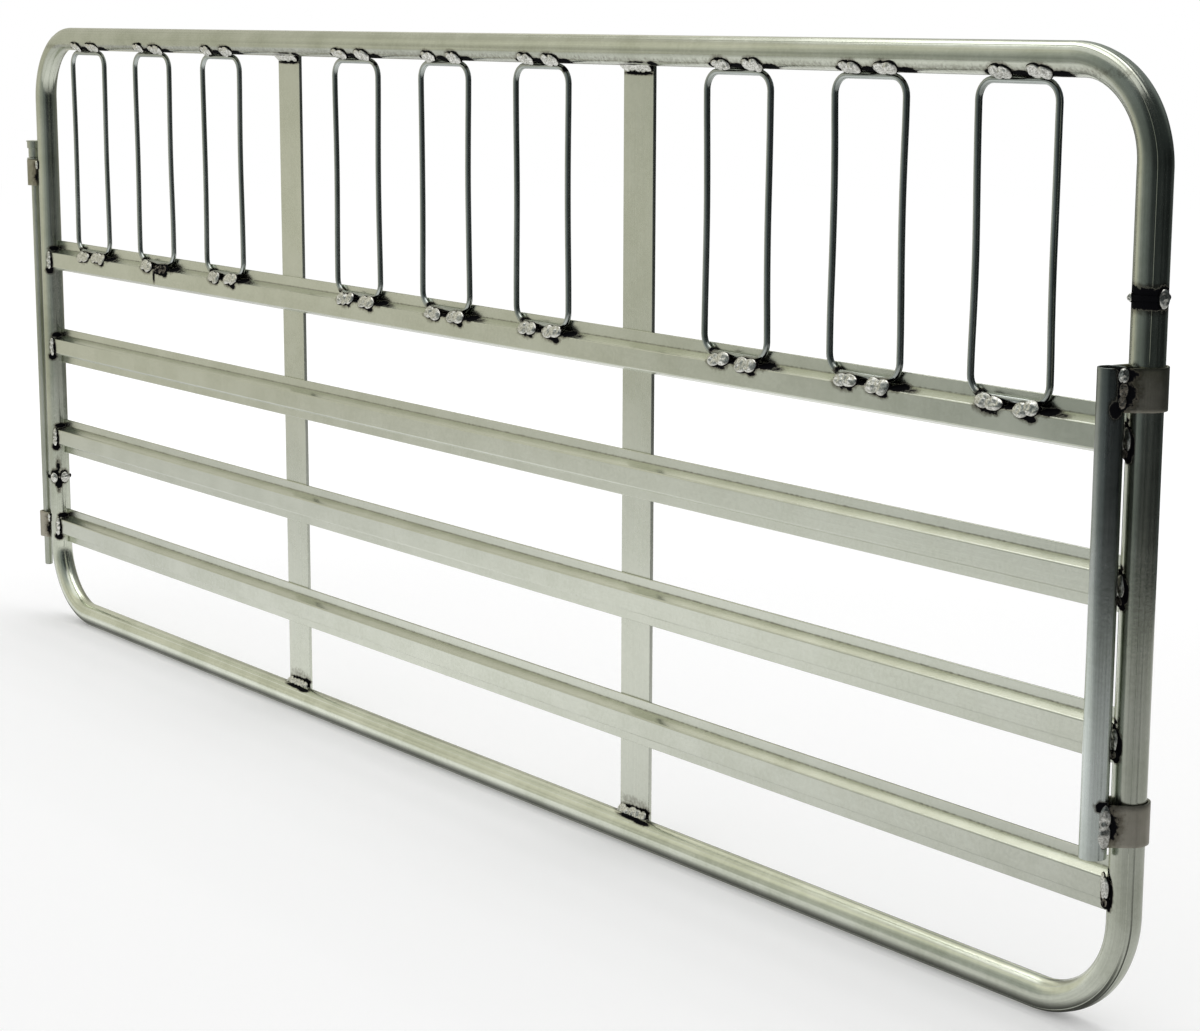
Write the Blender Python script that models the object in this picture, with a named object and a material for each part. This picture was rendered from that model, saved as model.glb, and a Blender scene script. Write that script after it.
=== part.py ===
"""Aluminium farm gate, ten-foot size, built as separate pieces in metres with +Z up.

Origin: middle of the gate's length on the ground, in the middle plane of the frame.
+X runs along the gate towards the end with the swinging sleeve, -Y is the face with the boxed rails.
"""
import math

import bmesh
import bpy
from mathutils import Vector

# Overall size
HEIGHT = 1.245
LENGTH = 3.053

# Frame tube: a round tube with a slightly raised band on its inner and outer side
TUBE_R = 0.0216
BAND_R = TUBE_R + 0.0006
BAND_HALF_ANGLE = 42.0
TUBE_WALL = 0.003
UPPER_BEND_R = 0.125
LOWER_BEND_R = 0.139
BEND_FLATTENING = 0.08
BEND_STEPS = 10
SEAM_Z = HEIGHT * 0.75743

# Gap left between pieces that are welded together or rest on each other
GAP = 0.0003

# Rails: a flat back plate with a boxed bulge in front of it
RAIL_BACK_Y = 0.009
RAIL_FLANGE_Y = 0.006
RAIL_FACE_Y = -0.013
RAIL_WALL = 0.003
RAIL_SLOPE_H = 0.007
RAIL_FACE_H = 0.030
RAIL_FLANGE_H = 0.014
RAIL_4_BOTTOM = HEIGHT * 0.12892
RAIL_PITCH = HEIGHT * 0.15558
TOP_RAIL_BOTTOM = HEIGHT * 0.59687
TOP_RAIL_FLANGE_H = 0.0175
TOP_RAIL_FACE_H = 0.031

# Stays: flat bars behind the rails
STAY_X = (-LENGTH * 0.17278, LENGTH * 0.16096)
STAY_WIDTH = 0.072
STAY_THICK = 0.006

# Neck loops: nine closed rod loops in three bays
BAYS = 3
LOOPS_IN_BAY = 3
BAY_PITCH = LENGTH * 0.33367
BAY_MIDDLE_X = -0.0145
LOOP_PITCH = BAY_PITCH * 0.2672
LOOP_ROD_R = 0.0048
LOOP_WIDTH = 0.1396
LOOP_CORNER_R = 0.026
LOOP_CORNER_STEPS = 5
LOOP_SIDES = 10

# Swinging sleeve on the right upright
SLEEVE_R = 0.0175
SLEEVE_BORE_R = 0.0143
SLEEVE_DISTANCE = BAND_R + SLEEVE_R + 0.0063
SLEEVE_ANGLE = 66.0
SLEEVE_BOTTOM = HEIGHT * 0.19639
SLEEVE_TOP = HEIGHT * 0.69076
COLLAR_INNER_R = BAND_R + 0.0012
COLLAR_THICK = 0.0035
COLLAR_HEIGHT = 0.054
COLLAR_LOWER_Z = SLEEVE_BOTTOM + 0.017
COLLAR_LEG_OFFSET = 0.013

# Hinge rod and its two strap loops on the left upright
ROD_R = 0.008
ROD_DISTANCE = BAND_R + ROD_R + 0.0098
ROD_ANGLE = 70.0
ROD_NECK_R = 0.0118
ROD_HEAD_R = 0.0142
ROD_LIP_R = 0.0156
ROD_HEAD_H = 0.0135
ROD_LIP_H = 0.0022
SEAT_RING_R = 0.0148
SEAT_RING_H = 0.003
STRAP_INNER_R = ROD_R + 0.003
STRAP_THICK = 0.0045
STRAP_HEIGHT = 0.054
STRAP_LOWER_Z = HEIGHT * 0.13494
STRAP_UPPER_Z = HEIGHT * 0.73791
STRAP_LEG_OFFSET = 0.017
ROD_BOTTOM = STRAP_LOWER_Z - 0.063
ROD_TOP = STRAP_UPPER_Z + STRAP_HEIGHT + 0.0388

# Derived places
AXIS_X = LENGTH / 2 - BAND_R
AXIS_TOP_Z = HEIGHT - BAND_R
AXIS_BOTTOM_Z = BAND_R
SEAM_LEFT_Z = HEIGHT - SEAM_Z

# Start from an empty scene
for old in list(bpy.data.objects):
    bpy.data.objects.remove(old, do_unlink=True)

scene = bpy.context.scene
scene.unit_settings.system = 'METRIC'

parts = bpy.data.collections.new("aluminium_farm_gate")
scene.collection.children.link(parts)
cutters = bpy.data.collections.new("cutters")
scene.collection.children.link(cutters)


def make_material(name, colour, metallic, roughness):
    """Plain Principled material for one kind of piece."""
    material = bpy.data.materials.new(name)
    material.use_nodes = True
    shader = material.node_tree.nodes["Principled BSDF"]
    shader.inputs["Base Color"].default_value = (colour[0], colour[1], colour[2], 1.0)
    shader.inputs["Metallic"].default_value = metallic
    shader.inputs["Roughness"].default_value = roughness
    return material


TUBE_METAL = make_material("frame_tube_aluminium", (0.46, 0.48, 0.47), 1.0, 0.32)
RAIL_METAL = make_material("rail_aluminium", (0.56, 0.57, 0.53), 1.0, 0.42)
BAR_METAL = make_material("stay_aluminium", (0.54, 0.55, 0.51), 1.0, 0.45)
ROD_METAL = make_material("loop_rod_aluminium", (0.52, 0.53, 0.50), 1.0, 0.35)
SLEEVE_METAL = make_material("sleeve_aluminium", (0.44, 0.46, 0.45), 1.0, 0.36)
STRAP_METAL = make_material("strap_aluminium", (0.45, 0.44, 0.40), 1.0, 0.45)
PIN_METAL = make_material("hinge_rod_aluminium", (0.48, 0.49, 0.46), 1.0, 0.38)
WELD_METAL = make_material("weld_aluminium", (0.66, 0.66, 0.64), 1.0, 0.30)


def finish_mesh(name, verts, faces, material, smooth_angle=None, collection=None):
    """Makes one closed object from points and faces, with its faces turned outwards."""
    mesh = bpy.data.meshes.new(name)
    mesh.from_pydata([tuple(v) for v in verts], [], faces)
    work = bmesh.new()
    work.from_mesh(mesh)
    bmesh.ops.recalc_face_normals(work, faces=work.faces[:])
    work.to_mesh(mesh)
    work.free()
    mesh.update()
    obj = bpy.data.objects.new(name, mesh)
    (collection or parts).objects.link(obj)
    if material is not None:
        mesh.materials.append(material)
    if smooth_angle is not None:
        mesh.shade_smooth()
        mesh.set_sharp_from_angle(angle=math.radians(smooth_angle))
    return obj


def circle_section(radius, count):
    """Round section as pairs of side offset and Y offset."""
    return [(radius * math.cos(2 * math.pi * k / count), radius * math.sin(2 * math.pi * k / count))
            for k in range(count)]


def tube_section():
    """Section of the frame tube with its two raised bands, and the matching bore."""
    band = [-42, -28, -14, 0, 14, 28, 42]
    plain = [43.5, 59, 74.5, 90, 105.5, 121, 136.5]
    outer = []
    inner = []
    for start in (0, 180):
        for angle in band:
            a = math.radians(start + angle * BAND_HALF_ANGLE / 42.0)
            outer.append((BAND_R * math.cos(a), BAND_R * math.sin(a)))
            inner.append(((TUBE_R - TUBE_WALL) * math.cos(a), (TUBE_R - TUBE_WALL) * math.sin(a)))
        for angle in plain:
            a = math.radians(start + angle)
            outer.append((TUBE_R * math.cos(a), TUBE_R * math.sin(a)))
            inner.append(((TUBE_R - TUBE_WALL) * math.cos(a), (TUBE_R - TUBE_WALL) * math.sin(a)))
    return outer, inner


def place_section(point, side, section):
    """Puts a section at a path point; side is the direction in the X-Z plane square to the path."""
    return [Vector((point[0] + side[0] * s, point[1] + y, point[2] + side[1] * s)) for s, y in section]


def sweep_open(name, path, outer, inner, material, smooth_angle=30, collection=None):
    """Sweeps a section along an open path of (point, side); with an inner section it is a tube."""
    verts = []
    faces = []
    n = len(outer)
    for point, side in path:
        verts += place_section(point, side, outer)
    rings = len(path)
    for r in range(rings - 1):
        for k in range(n):
            a = r * n + k
            b = r * n + (k + 1) % n
            faces.append((a, b, b + n, a + n))
    if inner is None:
        faces.append(tuple(range(n)))
        faces.append(tuple((rings - 1) * n + k for k in range(n)))
        return finish_mesh(name, verts, faces, material, smooth_angle, collection)
    base = len(verts)
    m = len(inner)
    for point, side in path:
        verts += place_section(point, side, inner)
    for r in range(rings - 1):
        for k in range(m):
            a = base + r * m + k
            b = base + r * m + (k + 1) % m
            faces.append((a, a + m, b + m, b))
    for r in (0, rings - 1):
        for k in range(n):
            a = r * n + k
            b = r * n + (k + 1) % n
            faces.append((a, b, base + b, base + a))
    return finish_mesh(name, verts, faces, material, smooth_angle, collection)


def sweep_closed(name, path, section, material, smooth_angle=50):
    """Sweeps a round section along a closed path."""
    verts = []
    faces = []
    n = len(section)
    rings = len(path)
    for point, side in path:
        verts += place_section(point, side, section)
    for r in range(rings):
        nxt = (r + 1) % rings
        for k in range(n):
            j = (k + 1) % n
            faces.append((r * n + k, r * n + j, nxt * n + j, nxt * n + k))
    return finish_mesh(name, verts, faces, material, smooth_angle)


def arc_points(centre, radius, start, end, steps, flatten=0.0):
    """Points and outward directions on an arc in the X-Z plane, angles in degrees from +X.

    A direction shorter than 1 narrows the section in the plane of the bend, as bending flattens a tube.
    """
    out = []
    for k in range(steps + 1):
        a = math.radians(start + (end - start) * k / steps)
        narrow = 1.0 - flatten * min(1.0, 1.6 * math.sin(math.pi * k / steps))
        point = (centre[0] + radius * math.cos(a), 0.0, centre[1] + radius * math.sin(a))
        out.append((point, (narrow * math.cos(a), narrow * math.sin(a))))
    return out


def upper_path():
    """Centre line of the upper frame tube from the right seam over the top to the left seam."""
    cx = AXIS_X - UPPER_BEND_R
    cz = AXIS_TOP_Z - UPPER_BEND_R
    path = [((AXIS_X, 0.0, SEAM_Z + GAP / 2), (1.0, 0.0))]
    path += arc_points((cx, cz), UPPER_BEND_R, 0, 90, BEND_STEPS, BEND_FLATTENING)
    path += arc_points((-cx, cz), UPPER_BEND_R, 90, 180, BEND_STEPS, BEND_FLATTENING)
    path.append(((-AXIS_X, 0.0, SEAM_LEFT_Z + GAP / 2), (-1.0, 0.0)))
    return path


def lower_path():
    """Centre line of the lower frame tube, the upper one turned half round but for its wider bends."""
    cx = AXIS_X - LOWER_BEND_R
    cz = AXIS_BOTTOM_Z + LOWER_BEND_R
    path = [((-AXIS_X, 0.0, SEAM_LEFT_Z - GAP / 2), (-1.0, 0.0))]
    path += arc_points((-cx, cz), LOWER_BEND_R, 180, 270, BEND_STEPS, BEND_FLATTENING)
    path += arc_points((cx, cz), LOWER_BEND_R, 270, 360, BEND_STEPS, BEND_FLATTENING)
    path.append(((AXIS_X, 0.0, SEAM_Z - GAP / 2), (1.0, 0.0)))
    return path


# Frame: two bent tubes butted at a seam on each upright, each seam closed by a weld ring
outer_section, inner_section = tube_section()
sweep_open("frame_tube_upper", upper_path(), outer_section, inner_section, TUBE_METAL)
sweep_open("frame_tube_lower", lower_path(), outer_section, inner_section, TUBE_METAL)


def weld_ring(name, x, z):
    """Crowned ring of weld metal round the butt seam of an upright."""
    inner_r = BAND_R + GAP
    profile = [(inner_r, -0.0035), (inner_r + 0.0009, -0.0032), (inner_r + 0.0017, -0.0015),
               (inner_r + 0.0017, 0.0015), (inner_r + 0.0009, 0.0032), (inner_r, 0.0035)]
    return lathe_ring(name, (x, 0.0), z, profile, 28, WELD_METAL, 40)


def lathe_ring(name, centre, z, profile, count, material, smooth_angle=35):
    """Turns a closed outline of (radius, height) round a vertical axis into a ring."""
    verts = []
    faces = []
    m = len(profile)
    for k in range(count):
        a = 2 * math.pi * k / count
        for r, h in profile:
            verts.append(Vector((centre[0] + r * math.cos(a), centre[1] + r * math.sin(a), z + h)))
    for k in range(count):
        nxt = (k + 1) % count
        for j in range(m):
            i = (j + 1) % m
            faces.append((k * m + j, k * m + i, nxt * m + i, nxt * m + j))
    return finish_mesh(name, verts, faces, material, smooth_angle)


def lathe_solid(name, centre, profile, count, material, smooth_angle=35):
    """Turns an open outline of (radius, height), top to bottom, into a solid with flat ends."""
    verts = []
    faces = []
    m = len(profile)
    for k in range(count):
        a = 2 * math.pi * k / count
        for r, h in profile:
            verts.append(Vector((centre[0] + r * math.cos(a), centre[1] + r * math.sin(a), h)))
    for k in range(count):
        nxt = (k + 1) % count
        for j in range(m - 1):
            faces.append((k * m + j, k * m + j + 1, nxt * m + j + 1, nxt * m + j))
    faces.append(tuple(k * m for k in range(count)))
    faces.append(tuple(k * m + m - 1 for k in range(count)))
    return finish_mesh(name, verts, faces, material, smooth_angle)


weld_ring("seam_weld_right", AXIS_X, SEAM_Z)
weld_ring("seam_weld_left", -AXIS_X, SEAM_LEFT_Z)


# Cutter the shape of the whole frame, a little larger, that copes the ends of rails and stays
def frame_cutter():
    """Closed ring along the frame's centre line, one gap larger than the tube."""
    upper_x = AXIS_X - UPPER_BEND_R
    lower_x = AXIS_X - LOWER_BEND_R
    top = AXIS_TOP_Z - UPPER_BEND_R
    bottom = AXIS_BOTTOM_Z + LOWER_BEND_R
    path = arc_points((upper_x, top), UPPER_BEND_R, 0, 90, BEND_STEPS)
    path += arc_points((-upper_x, top), UPPER_BEND_R, 90, 180, BEND_STEPS)
    path += arc_points((-lower_x, bottom), LOWER_BEND_R, 180, 270, BEND_STEPS)
    path += arc_points((lower_x, bottom), LOWER_BEND_R, 270, 360, BEND_STEPS)
    obj = sweep_closed("cutter_frame", path, circle_section(BAND_R + 0.0004, 32), None)
    parts.objects.unlink(obj)
    cutters.objects.link(obj)
    obj.hide_render = True
    obj.display_type = 'WIRE'
    return obj


FRAME_CUTTER = frame_cutter()


def cut_with(obj, cutter):
    """Takes the cutter's shape out of a piece."""
    mod = obj.modifiers.new("cope", 'BOOLEAN')
    mod.operation = 'DIFFERENCE'
    mod.solver = 'EXACT'
    mod.object = cutter


def extrude_x(name, outline, hole, x0, x1, material):
    """Pulls a (Y, Z) outline along X, with a bore of the same number of corners if given."""
    verts = []
    faces = []
    n = len(outline)
    for x in (x0, x1):
        verts += [Vector((x, y, z)) for y, z in outline]
    for k in range(n):
        j = (k + 1) % n
        faces.append((k, j, n + j, n + k))
    if hole is None:
        faces.append(tuple(range(n)))
        faces.append(tuple(n + k for k in range(n)))
        return finish_mesh(name, verts, faces, material)
    base = len(verts)
    m = len(hole)
    for x in (x0, x1):
        verts += [Vector((x, y, z)) for y, z in hole]
    for k in range(m):
        j = (k + 1) % m
        faces.append((base + k, base + m + k, base + m + j, base + j))
    return finish_with_ends(name, verts, faces, n, m, base, material)


def finish_with_ends(name, verts, faces, n, m, base, material):
    """Closes both ends of a hollow extrusion between its outline and its bore."""
    mesh = bpy.data.meshes.new(name)
    mesh.from_pydata([tuple(v) for v in verts], [], faces)
    work = bmesh.new()
    work.from_mesh(mesh)
    work.verts.ensure_lookup_table()
    for end in (0, 1):
        outer_ids = [end * n + k for k in range(n)]
        inner_ids = [base + end * m + k for k in range(m)]
        edges = []
        for ids in (outer_ids, inner_ids):
            for k in range(len(ids)):
                pair = (work.verts[ids[k]], work.verts[ids[(k + 1) % len(ids)]])
                edges.append(work.edges.get(pair))
        bmesh.ops.triangle_fill(work, use_beauty=True, use_dissolve=False, edges=edges)
    bmesh.ops.recalc_face_normals(work, faces=work.faces[:])
    work.to_mesh(mesh)
    work.free()
    obj = bpy.data.objects.new(name, mesh)
    parts.objects.link(obj)
    mesh.materials.append(material)
    return obj


def rail_outline(bottom, face_h, flange_h, lower_flange_h):
    """Outline and bore of a rail; without a lower flange the back plate stops at the box."""
    z1 = bottom + lower_flange_h
    z2 = z1 + RAIL_SLOPE_H
    z3 = z2 + face_h
    z4 = z3 + RAIL_SLOPE_H
    z5 = z4 + flange_h
    edge = 0.0007
    outline = [(RAIL_BACK_Y, bottom), (RAIL_BACK_Y, z5), (RAIL_FLANGE_Y + edge, z5),
               (RAIL_FLANGE_Y, z5 - edge), (RAIL_FLANGE_Y, z4),
               (RAIL_FACE_Y + 0.0012, z3 + 0.0004), (RAIL_FACE_Y, z3 - 0.001),
               (RAIL_FACE_Y, z2 + 0.001), (RAIL_FACE_Y + 0.0012, z2 - 0.0004)]
    if lower_flange_h > 0:
        outline += [(RAIL_FLANGE_Y, z1), (RAIL_FLANGE_Y, bottom + edge), (RAIL_FLANGE_Y + edge, bottom)]
    else:
        outline += [(RAIL_FLANGE_Y, z1)]
    drop = RAIL_WALL * 1.1
    hole = [(RAIL_FLANGE_Y, z1 + drop), (RAIL_FLANGE_Y, z4 - drop),
            (RAIL_FACE_Y + RAIL_WALL, z3 - drop + 0.0011), (RAIL_FACE_Y + RAIL_WALL, z2 + drop - 0.0011)]
    return outline, hole


# Four rails, boxed in front and flat behind; the top one has no lower flange
for number in (1, 2, 3, 4):
    if number == 1:
        shape, bore = rail_outline(TOP_RAIL_BOTTOM, TOP_RAIL_FACE_H, TOP_RAIL_FLANGE_H, 0.0)
    else:
        low = RAIL_4_BOTTOM + (4 - number) * RAIL_PITCH
        shape, bore = rail_outline(low, RAIL_FACE_H, RAIL_FLANGE_H, RAIL_FLANGE_H)
    rail = extrude_x("rail_%d" % number, shape, bore, -AXIS_X, AXIS_X, RAIL_METAL)
    cut_with(rail, FRAME_CUTTER)

# Two upright stays, flat bars against the backs of the rails, coped to the frame at both ends
for side_name, stay_x in zip(("left", "right"), STAY_X):
    y0 = RAIL_BACK_Y + GAP
    y1 = y0 + STAY_THICK
    x0 = stay_x - STAY_WIDTH / 2
    x1 = stay_x + STAY_WIDTH / 2
    outline = [(y0, AXIS_BOTTOM_Z), (y1, AXIS_BOTTOM_Z), (y1, AXIS_TOP_Z), (y0, AXIS_TOP_Z)]
    stay = extrude_x("stay_" + side_name, outline, None, x0, x1, BAR_METAL)
    cut_with(stay, FRAME_CUTTER)


def loop_path(x, y, z0, z1):
    """Closed centre line of one neck loop, with rounded corners."""
    half = LOOP_WIDTH / 2
    r = LOOP_CORNER_R
    corners = ((x + half - r, z1 - r, 0), (x - half + r, z1 - r, 90),
               (x - half + r, z0 + r, 180), (x + half - r, z0 + r, 270))
    path = []
    for cx, cz, start in corners:
        path += arc_points((cx, cz), r, start, start + 90, LOOP_CORNER_STEPS)
    return [((p[0], y, p[2]), side) for p, side in path]


# Nine neck loops: each rests on the ledge of the top rail and is welded under the top tube
top_rail_top = TOP_RAIL_BOTTOM + 2 * RAIL_SLOPE_H + TOP_RAIL_FACE_H + TOP_RAIL_FLANGE_H
ledge_z = top_rail_top - TOP_RAIL_FLANGE_H
ledge_tilt = math.atan2(RAIL_SLOPE_H, RAIL_FLANGE_Y - RAIL_FACE_Y)
loop_y = RAIL_FLANGE_Y - GAP - LOOP_ROD_R
loop_low = ledge_z - (RAIL_FLANGE_Y - loop_y) * math.tan(ledge_tilt) + (LOOP_ROD_R + GAP) / math.cos(ledge_tilt)
loop_high = AXIS_TOP_Z - BAND_R - GAP - LOOP_ROD_R
for bay in range(BAYS):
    for place in range(LOOPS_IN_BAY):
        bay_x = BAY_MIDDLE_X + (bay - (BAYS - 1) / 2) * BAY_PITCH
        loop_x = bay_x + (place - (LOOPS_IN_BAY - 1) / 2) * LOOP_PITCH
        number = bay * LOOPS_IN_BAY + place + 1
        sweep_closed("neck_loop_%d" % number, loop_path(loop_x, loop_y, loop_low, loop_high),
                     circle_section(LOOP_ROD_R, LOOP_SIDES), ROD_METAL)


def strap_outline(arc_centre, to_other, distance, mid_r, other_r, thick, clear_r, steps):
    """Outline of a strap bent round one round piece with both ends running to another one.

    arc_centre is the middle of the bend, to_other the direction to the other piece's axis,
    mid_r the radius of the bend, other_r how far off the other axis the legs aim and
    clear_r how near their ends may come to that axis.
    """
    ux, uy = to_other
    slant = math.asin((mid_r - other_r) / distance)
    inner_edge = other_r - thick / 2
    reach = math.sqrt(distance ** 2 - (mid_r - other_r) ** 2)
    leg = reach - math.sqrt(clear_r ** 2 - inner_edge ** 2)
    start = math.pi / 2 - slant
    half = thick / 2

    def spot(radius, angle, along):
        """Point of the strap, measured from the bend's middle, in world X and Y."""
        a = radius * math.cos(angle)
        b = radius * math.sin(angle)
        if along:
            a += along * math.cos(slant)
            b -= along * math.sin(slant) * (1 if angle > 0 else -1)
        return (arc_centre[0] + a * ux - b * uy, arc_centre[1] + a * uy + b * ux)

    angles = [start + (2 * math.pi - 2 * start) * k / steps for k in range(steps + 1)]
    outside = [spot(mid_r + half, a, 0) for a in angles]
    inside = [spot(mid_r - half, a, 0) for a in angles]
    first = [spot(mid_r + half, start, leg), spot(mid_r - half, start, leg)]
    last = [spot(mid_r + half, -start, leg), spot(mid_r - half, -start, leg)]
    return [first[0]] + outside + last + list(reversed(inside)) + [first[1]]


def extrude_z(name, outline, z0, z1, material, smooth_angle=None):
    """Pulls an (X, Y) outline up from z0 to z1."""
    n = len(outline)
    verts = [Vector((x, y, z)) for z in (z0, z1) for x, y in outline]
    faces = [(k, (k + 1) % n, n + (k + 1) % n, n + k) for k in range(n)]
    faces.append(tuple(range(n)))
    faces.append(tuple(n + k for k in range(n)))
    return finish_mesh(name, verts, faces, material, smooth_angle)


def move_origin(obj, point):
    """Puts an object's origin on a joint axis without moving its shape."""
    shift = Vector(point)
    for vert in obj.data.vertices:
        vert.co -= shift
    obj.location = shift


# Sleeve pipe of the right end, hung on the upright by two collars that turn round it
sleeve_turn = math.radians(SLEEVE_ANGLE)
sleeve_dir = (-math.cos(sleeve_turn), -math.sin(sleeve_turn))
sleeve_centre = (AXIS_X + SLEEVE_DISTANCE * sleeve_dir[0], SLEEVE_DISTANCE * sleeve_dir[1])
sleeve_h = SLEEVE_TOP - SLEEVE_BOTTOM
pipe_profile = [(SLEEVE_R, 0.0008), (SLEEVE_R, sleeve_h - 0.0008), (SLEEVE_R - 0.0008, sleeve_h),
                (SLEEVE_BORE_R, sleeve_h), (SLEEVE_BORE_R, 0.0), (SLEEVE_R - 0.0008, 0.0)]
sleeve = lathe_ring("sleeve_pipe", sleeve_centre, SLEEVE_BOTTOM, pipe_profile, 28, SLEEVE_METAL)
collar_shape = strap_outline((AXIS_X, 0.0), sleeve_dir, SLEEVE_DISTANCE, COLLAR_INNER_R + COLLAR_THICK / 2,
                             COLLAR_LEG_OFFSET, COLLAR_THICK, SLEEVE_R + GAP, 20)
collar_upper_z = top_rail_top + GAP
collar_upper = extrude_z("collar_upper", collar_shape, collar_upper_z, collar_upper_z + COLLAR_HEIGHT,
                         STRAP_METAL, 35)
collar_lower = extrude_z("collar_lower", collar_shape, COLLAR_LOWER_Z, COLLAR_LOWER_Z + COLLAR_HEIGHT,
                         STRAP_METAL, 35)
for obj in (sleeve, collar_upper, collar_lower):
    move_origin(obj, (AXIS_X, 0.0, SLEEVE_BOTTOM))

# Hinge rod of the left end, hanging by its seat ring on the upper of two strap loops
rod_turn = math.radians(ROD_ANGLE)
rod_dir = (-math.sin(rod_turn), -math.cos(rod_turn))
rod_centre = (-AXIS_X + ROD_DISTANCE * rod_dir[0], ROD_DISTANCE * rod_dir[1])
strap_shape = strap_outline(rod_centre, (-rod_dir[0], -rod_dir[1]), ROD_DISTANCE,
                            STRAP_INNER_R + STRAP_THICK / 2, STRAP_LEG_OFFSET, STRAP_THICK,
                            BAND_R + GAP, 16)
extrude_z("strap_loop_upper", strap_shape, STRAP_UPPER_Z, STRAP_UPPER_Z + STRAP_HEIGHT, STRAP_METAL, 35)
extrude_z("strap_loop_lower", strap_shape, STRAP_LOWER_Z, STRAP_LOWER_Z + STRAP_HEIGHT, STRAP_METAL, 35)
seat_z = STRAP_UPPER_Z + STRAP_HEIGHT + GAP
neck_z = ROD_TOP - ROD_LIP_H - ROD_HEAD_H
rod_profile = [(ROD_LIP_R - 0.0006, ROD_TOP), (ROD_LIP_R, ROD_TOP - 0.0006), (ROD_LIP_R, ROD_TOP - ROD_LIP_H),
               (ROD_HEAD_R, ROD_TOP - ROD_LIP_H - 0.0004), (ROD_HEAD_R, neck_z + 0.0006),
               (ROD_NECK_R, neck_z - 0.0006), (ROD_NECK_R, seat_z + SEAT_RING_H + 0.0012),
               (ROD_R, seat_z + SEAT_RING_H + GAP), (ROD_R, ROD_BOTTOM + 0.0015), (ROD_R - 0.0015, ROD_BOTTOM)]
rod = lathe_solid("hinge_rod", rod_centre, rod_profile, 24, PIN_METAL)
ring_profile = [(ROD_R + GAP, 0.0), (SEAT_RING_R - 0.0005, 0.0), (SEAT_RING_R, 0.0005),
                (SEAT_RING_R, SEAT_RING_H - 0.0005), (SEAT_RING_R - 0.0005, SEAT_RING_H), (ROD_R + GAP, SEAT_RING_H)]
seat_ring = lathe_ring("rod_seat_ring", rod_centre, seat_z, ring_profile, 24, PIN_METAL)
for obj in (rod, seat_ring):
    move_origin(obj, (rod_centre[0], rod_centre[1], ROD_BOTTOM))

bpy.context.view_layer.update()
print("pieces:", len(parts.objects))
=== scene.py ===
# %% [markdown]
# # The looks of an aluminium farm gate
# Two bent tubes form the frame of the gate, four boxed rails and two flat stays fill it, nine rod
# loops stand on the top rail, a sleeve hangs on the right upright and a lift rod on the left one.
# Everything is welded by hand, and the soot was never cleaned off. This script gives each piece
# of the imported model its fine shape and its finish. It starts with the fixed frame and its box.

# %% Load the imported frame
import math

import bmesh
import bpy
import numpy as np
from mathutils import Matrix, Vector, noise


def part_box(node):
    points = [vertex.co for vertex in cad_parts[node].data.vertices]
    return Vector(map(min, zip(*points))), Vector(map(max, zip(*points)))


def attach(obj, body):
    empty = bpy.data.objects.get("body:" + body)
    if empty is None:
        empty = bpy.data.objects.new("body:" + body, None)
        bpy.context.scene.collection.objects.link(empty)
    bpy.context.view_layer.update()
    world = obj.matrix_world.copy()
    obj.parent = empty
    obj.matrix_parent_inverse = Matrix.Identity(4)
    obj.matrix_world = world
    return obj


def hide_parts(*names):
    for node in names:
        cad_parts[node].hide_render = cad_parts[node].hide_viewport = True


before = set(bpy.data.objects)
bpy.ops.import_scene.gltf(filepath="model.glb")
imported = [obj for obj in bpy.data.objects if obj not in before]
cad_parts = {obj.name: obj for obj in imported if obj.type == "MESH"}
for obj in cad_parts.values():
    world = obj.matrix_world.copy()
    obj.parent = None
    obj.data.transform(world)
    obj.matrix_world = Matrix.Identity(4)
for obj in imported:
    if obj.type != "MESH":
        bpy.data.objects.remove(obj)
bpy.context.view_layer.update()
tube_low, tube_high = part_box("frame_tube_upper")

# %% [markdown]
# The camera stands to the right of the gate and a little above it, as in the photograph. Its
# place and turn were worked out from the corners of the gate, so they are typed as numbers.

# %% Camera at the photograph's angle
CAMERA_PLACE = (3.62036, -2.43009, 1.27229)
CAMERA_TURNS = (("Z", 52.858), ("X", 79.256), ("Z", 0.192))
SENSOR_WIDTH = 36.0
LENS_LENGTH = 78.99
camera_data = bpy.data.cameras.new("gate_camera")
camera_data.sensor_width = SENSOR_WIDTH
camera_data.lens = LENS_LENGTH
camera = bpy.data.objects.new("gate_camera", camera_data)
bpy.context.scene.collection.objects.link(camera)
camera_matrix = Matrix.Translation(CAMERA_PLACE)
for axis, turn in CAMERA_TURNS:
    camera_matrix = camera_matrix @ Matrix.Rotation(math.radians(turn), 4, axis)
camera.matrix_world = camera_matrix
bpy.context.scene.camera = camera
bpy.context.scene.view_settings.view_transform = "Standard"
print("camera looks along", [round(v, 3) for v in -camera_matrix.col[2].xyz])

# %% [markdown]
# Node trees are easier to read when each line places one node. These helpers add a node, or a
# small sum, and connect it at once. A number goes straight into the socket, an output is linked.

# %% Helpers for node trees
def add_node(tree, kind, links=None, **settings):
    """Places a node; links gives a value or an output for named or numbered inputs."""
    node = tree.nodes.new(kind)
    for key, value in settings.items():
        setattr(node, key, value)
    for key, value in (links or {}).items():
        if isinstance(value, bpy.types.NodeSocket):
            tree.links.new(value, node.inputs[key])
        else:
            node.inputs[key].default_value = value
    return node


def sums(tree, operation, *values):
    """One Math node with its values, and its output."""
    return add_node(tree, "ShaderNodeMath", dict(enumerate(values)), operation=operation).outputs[0]


def ramp(tree, value, low, high, to_low=0.0, to_high=1.0):
    """A smooth step from to_low to to_high while value goes from low to high."""
    links = {0: value, 1: low, 2: high, 3: to_low, 4: to_high}
    return add_node(tree, "ShaderNodeMapRange", links, interpolation_type="SMOOTHSTEP").outputs[0]


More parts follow.
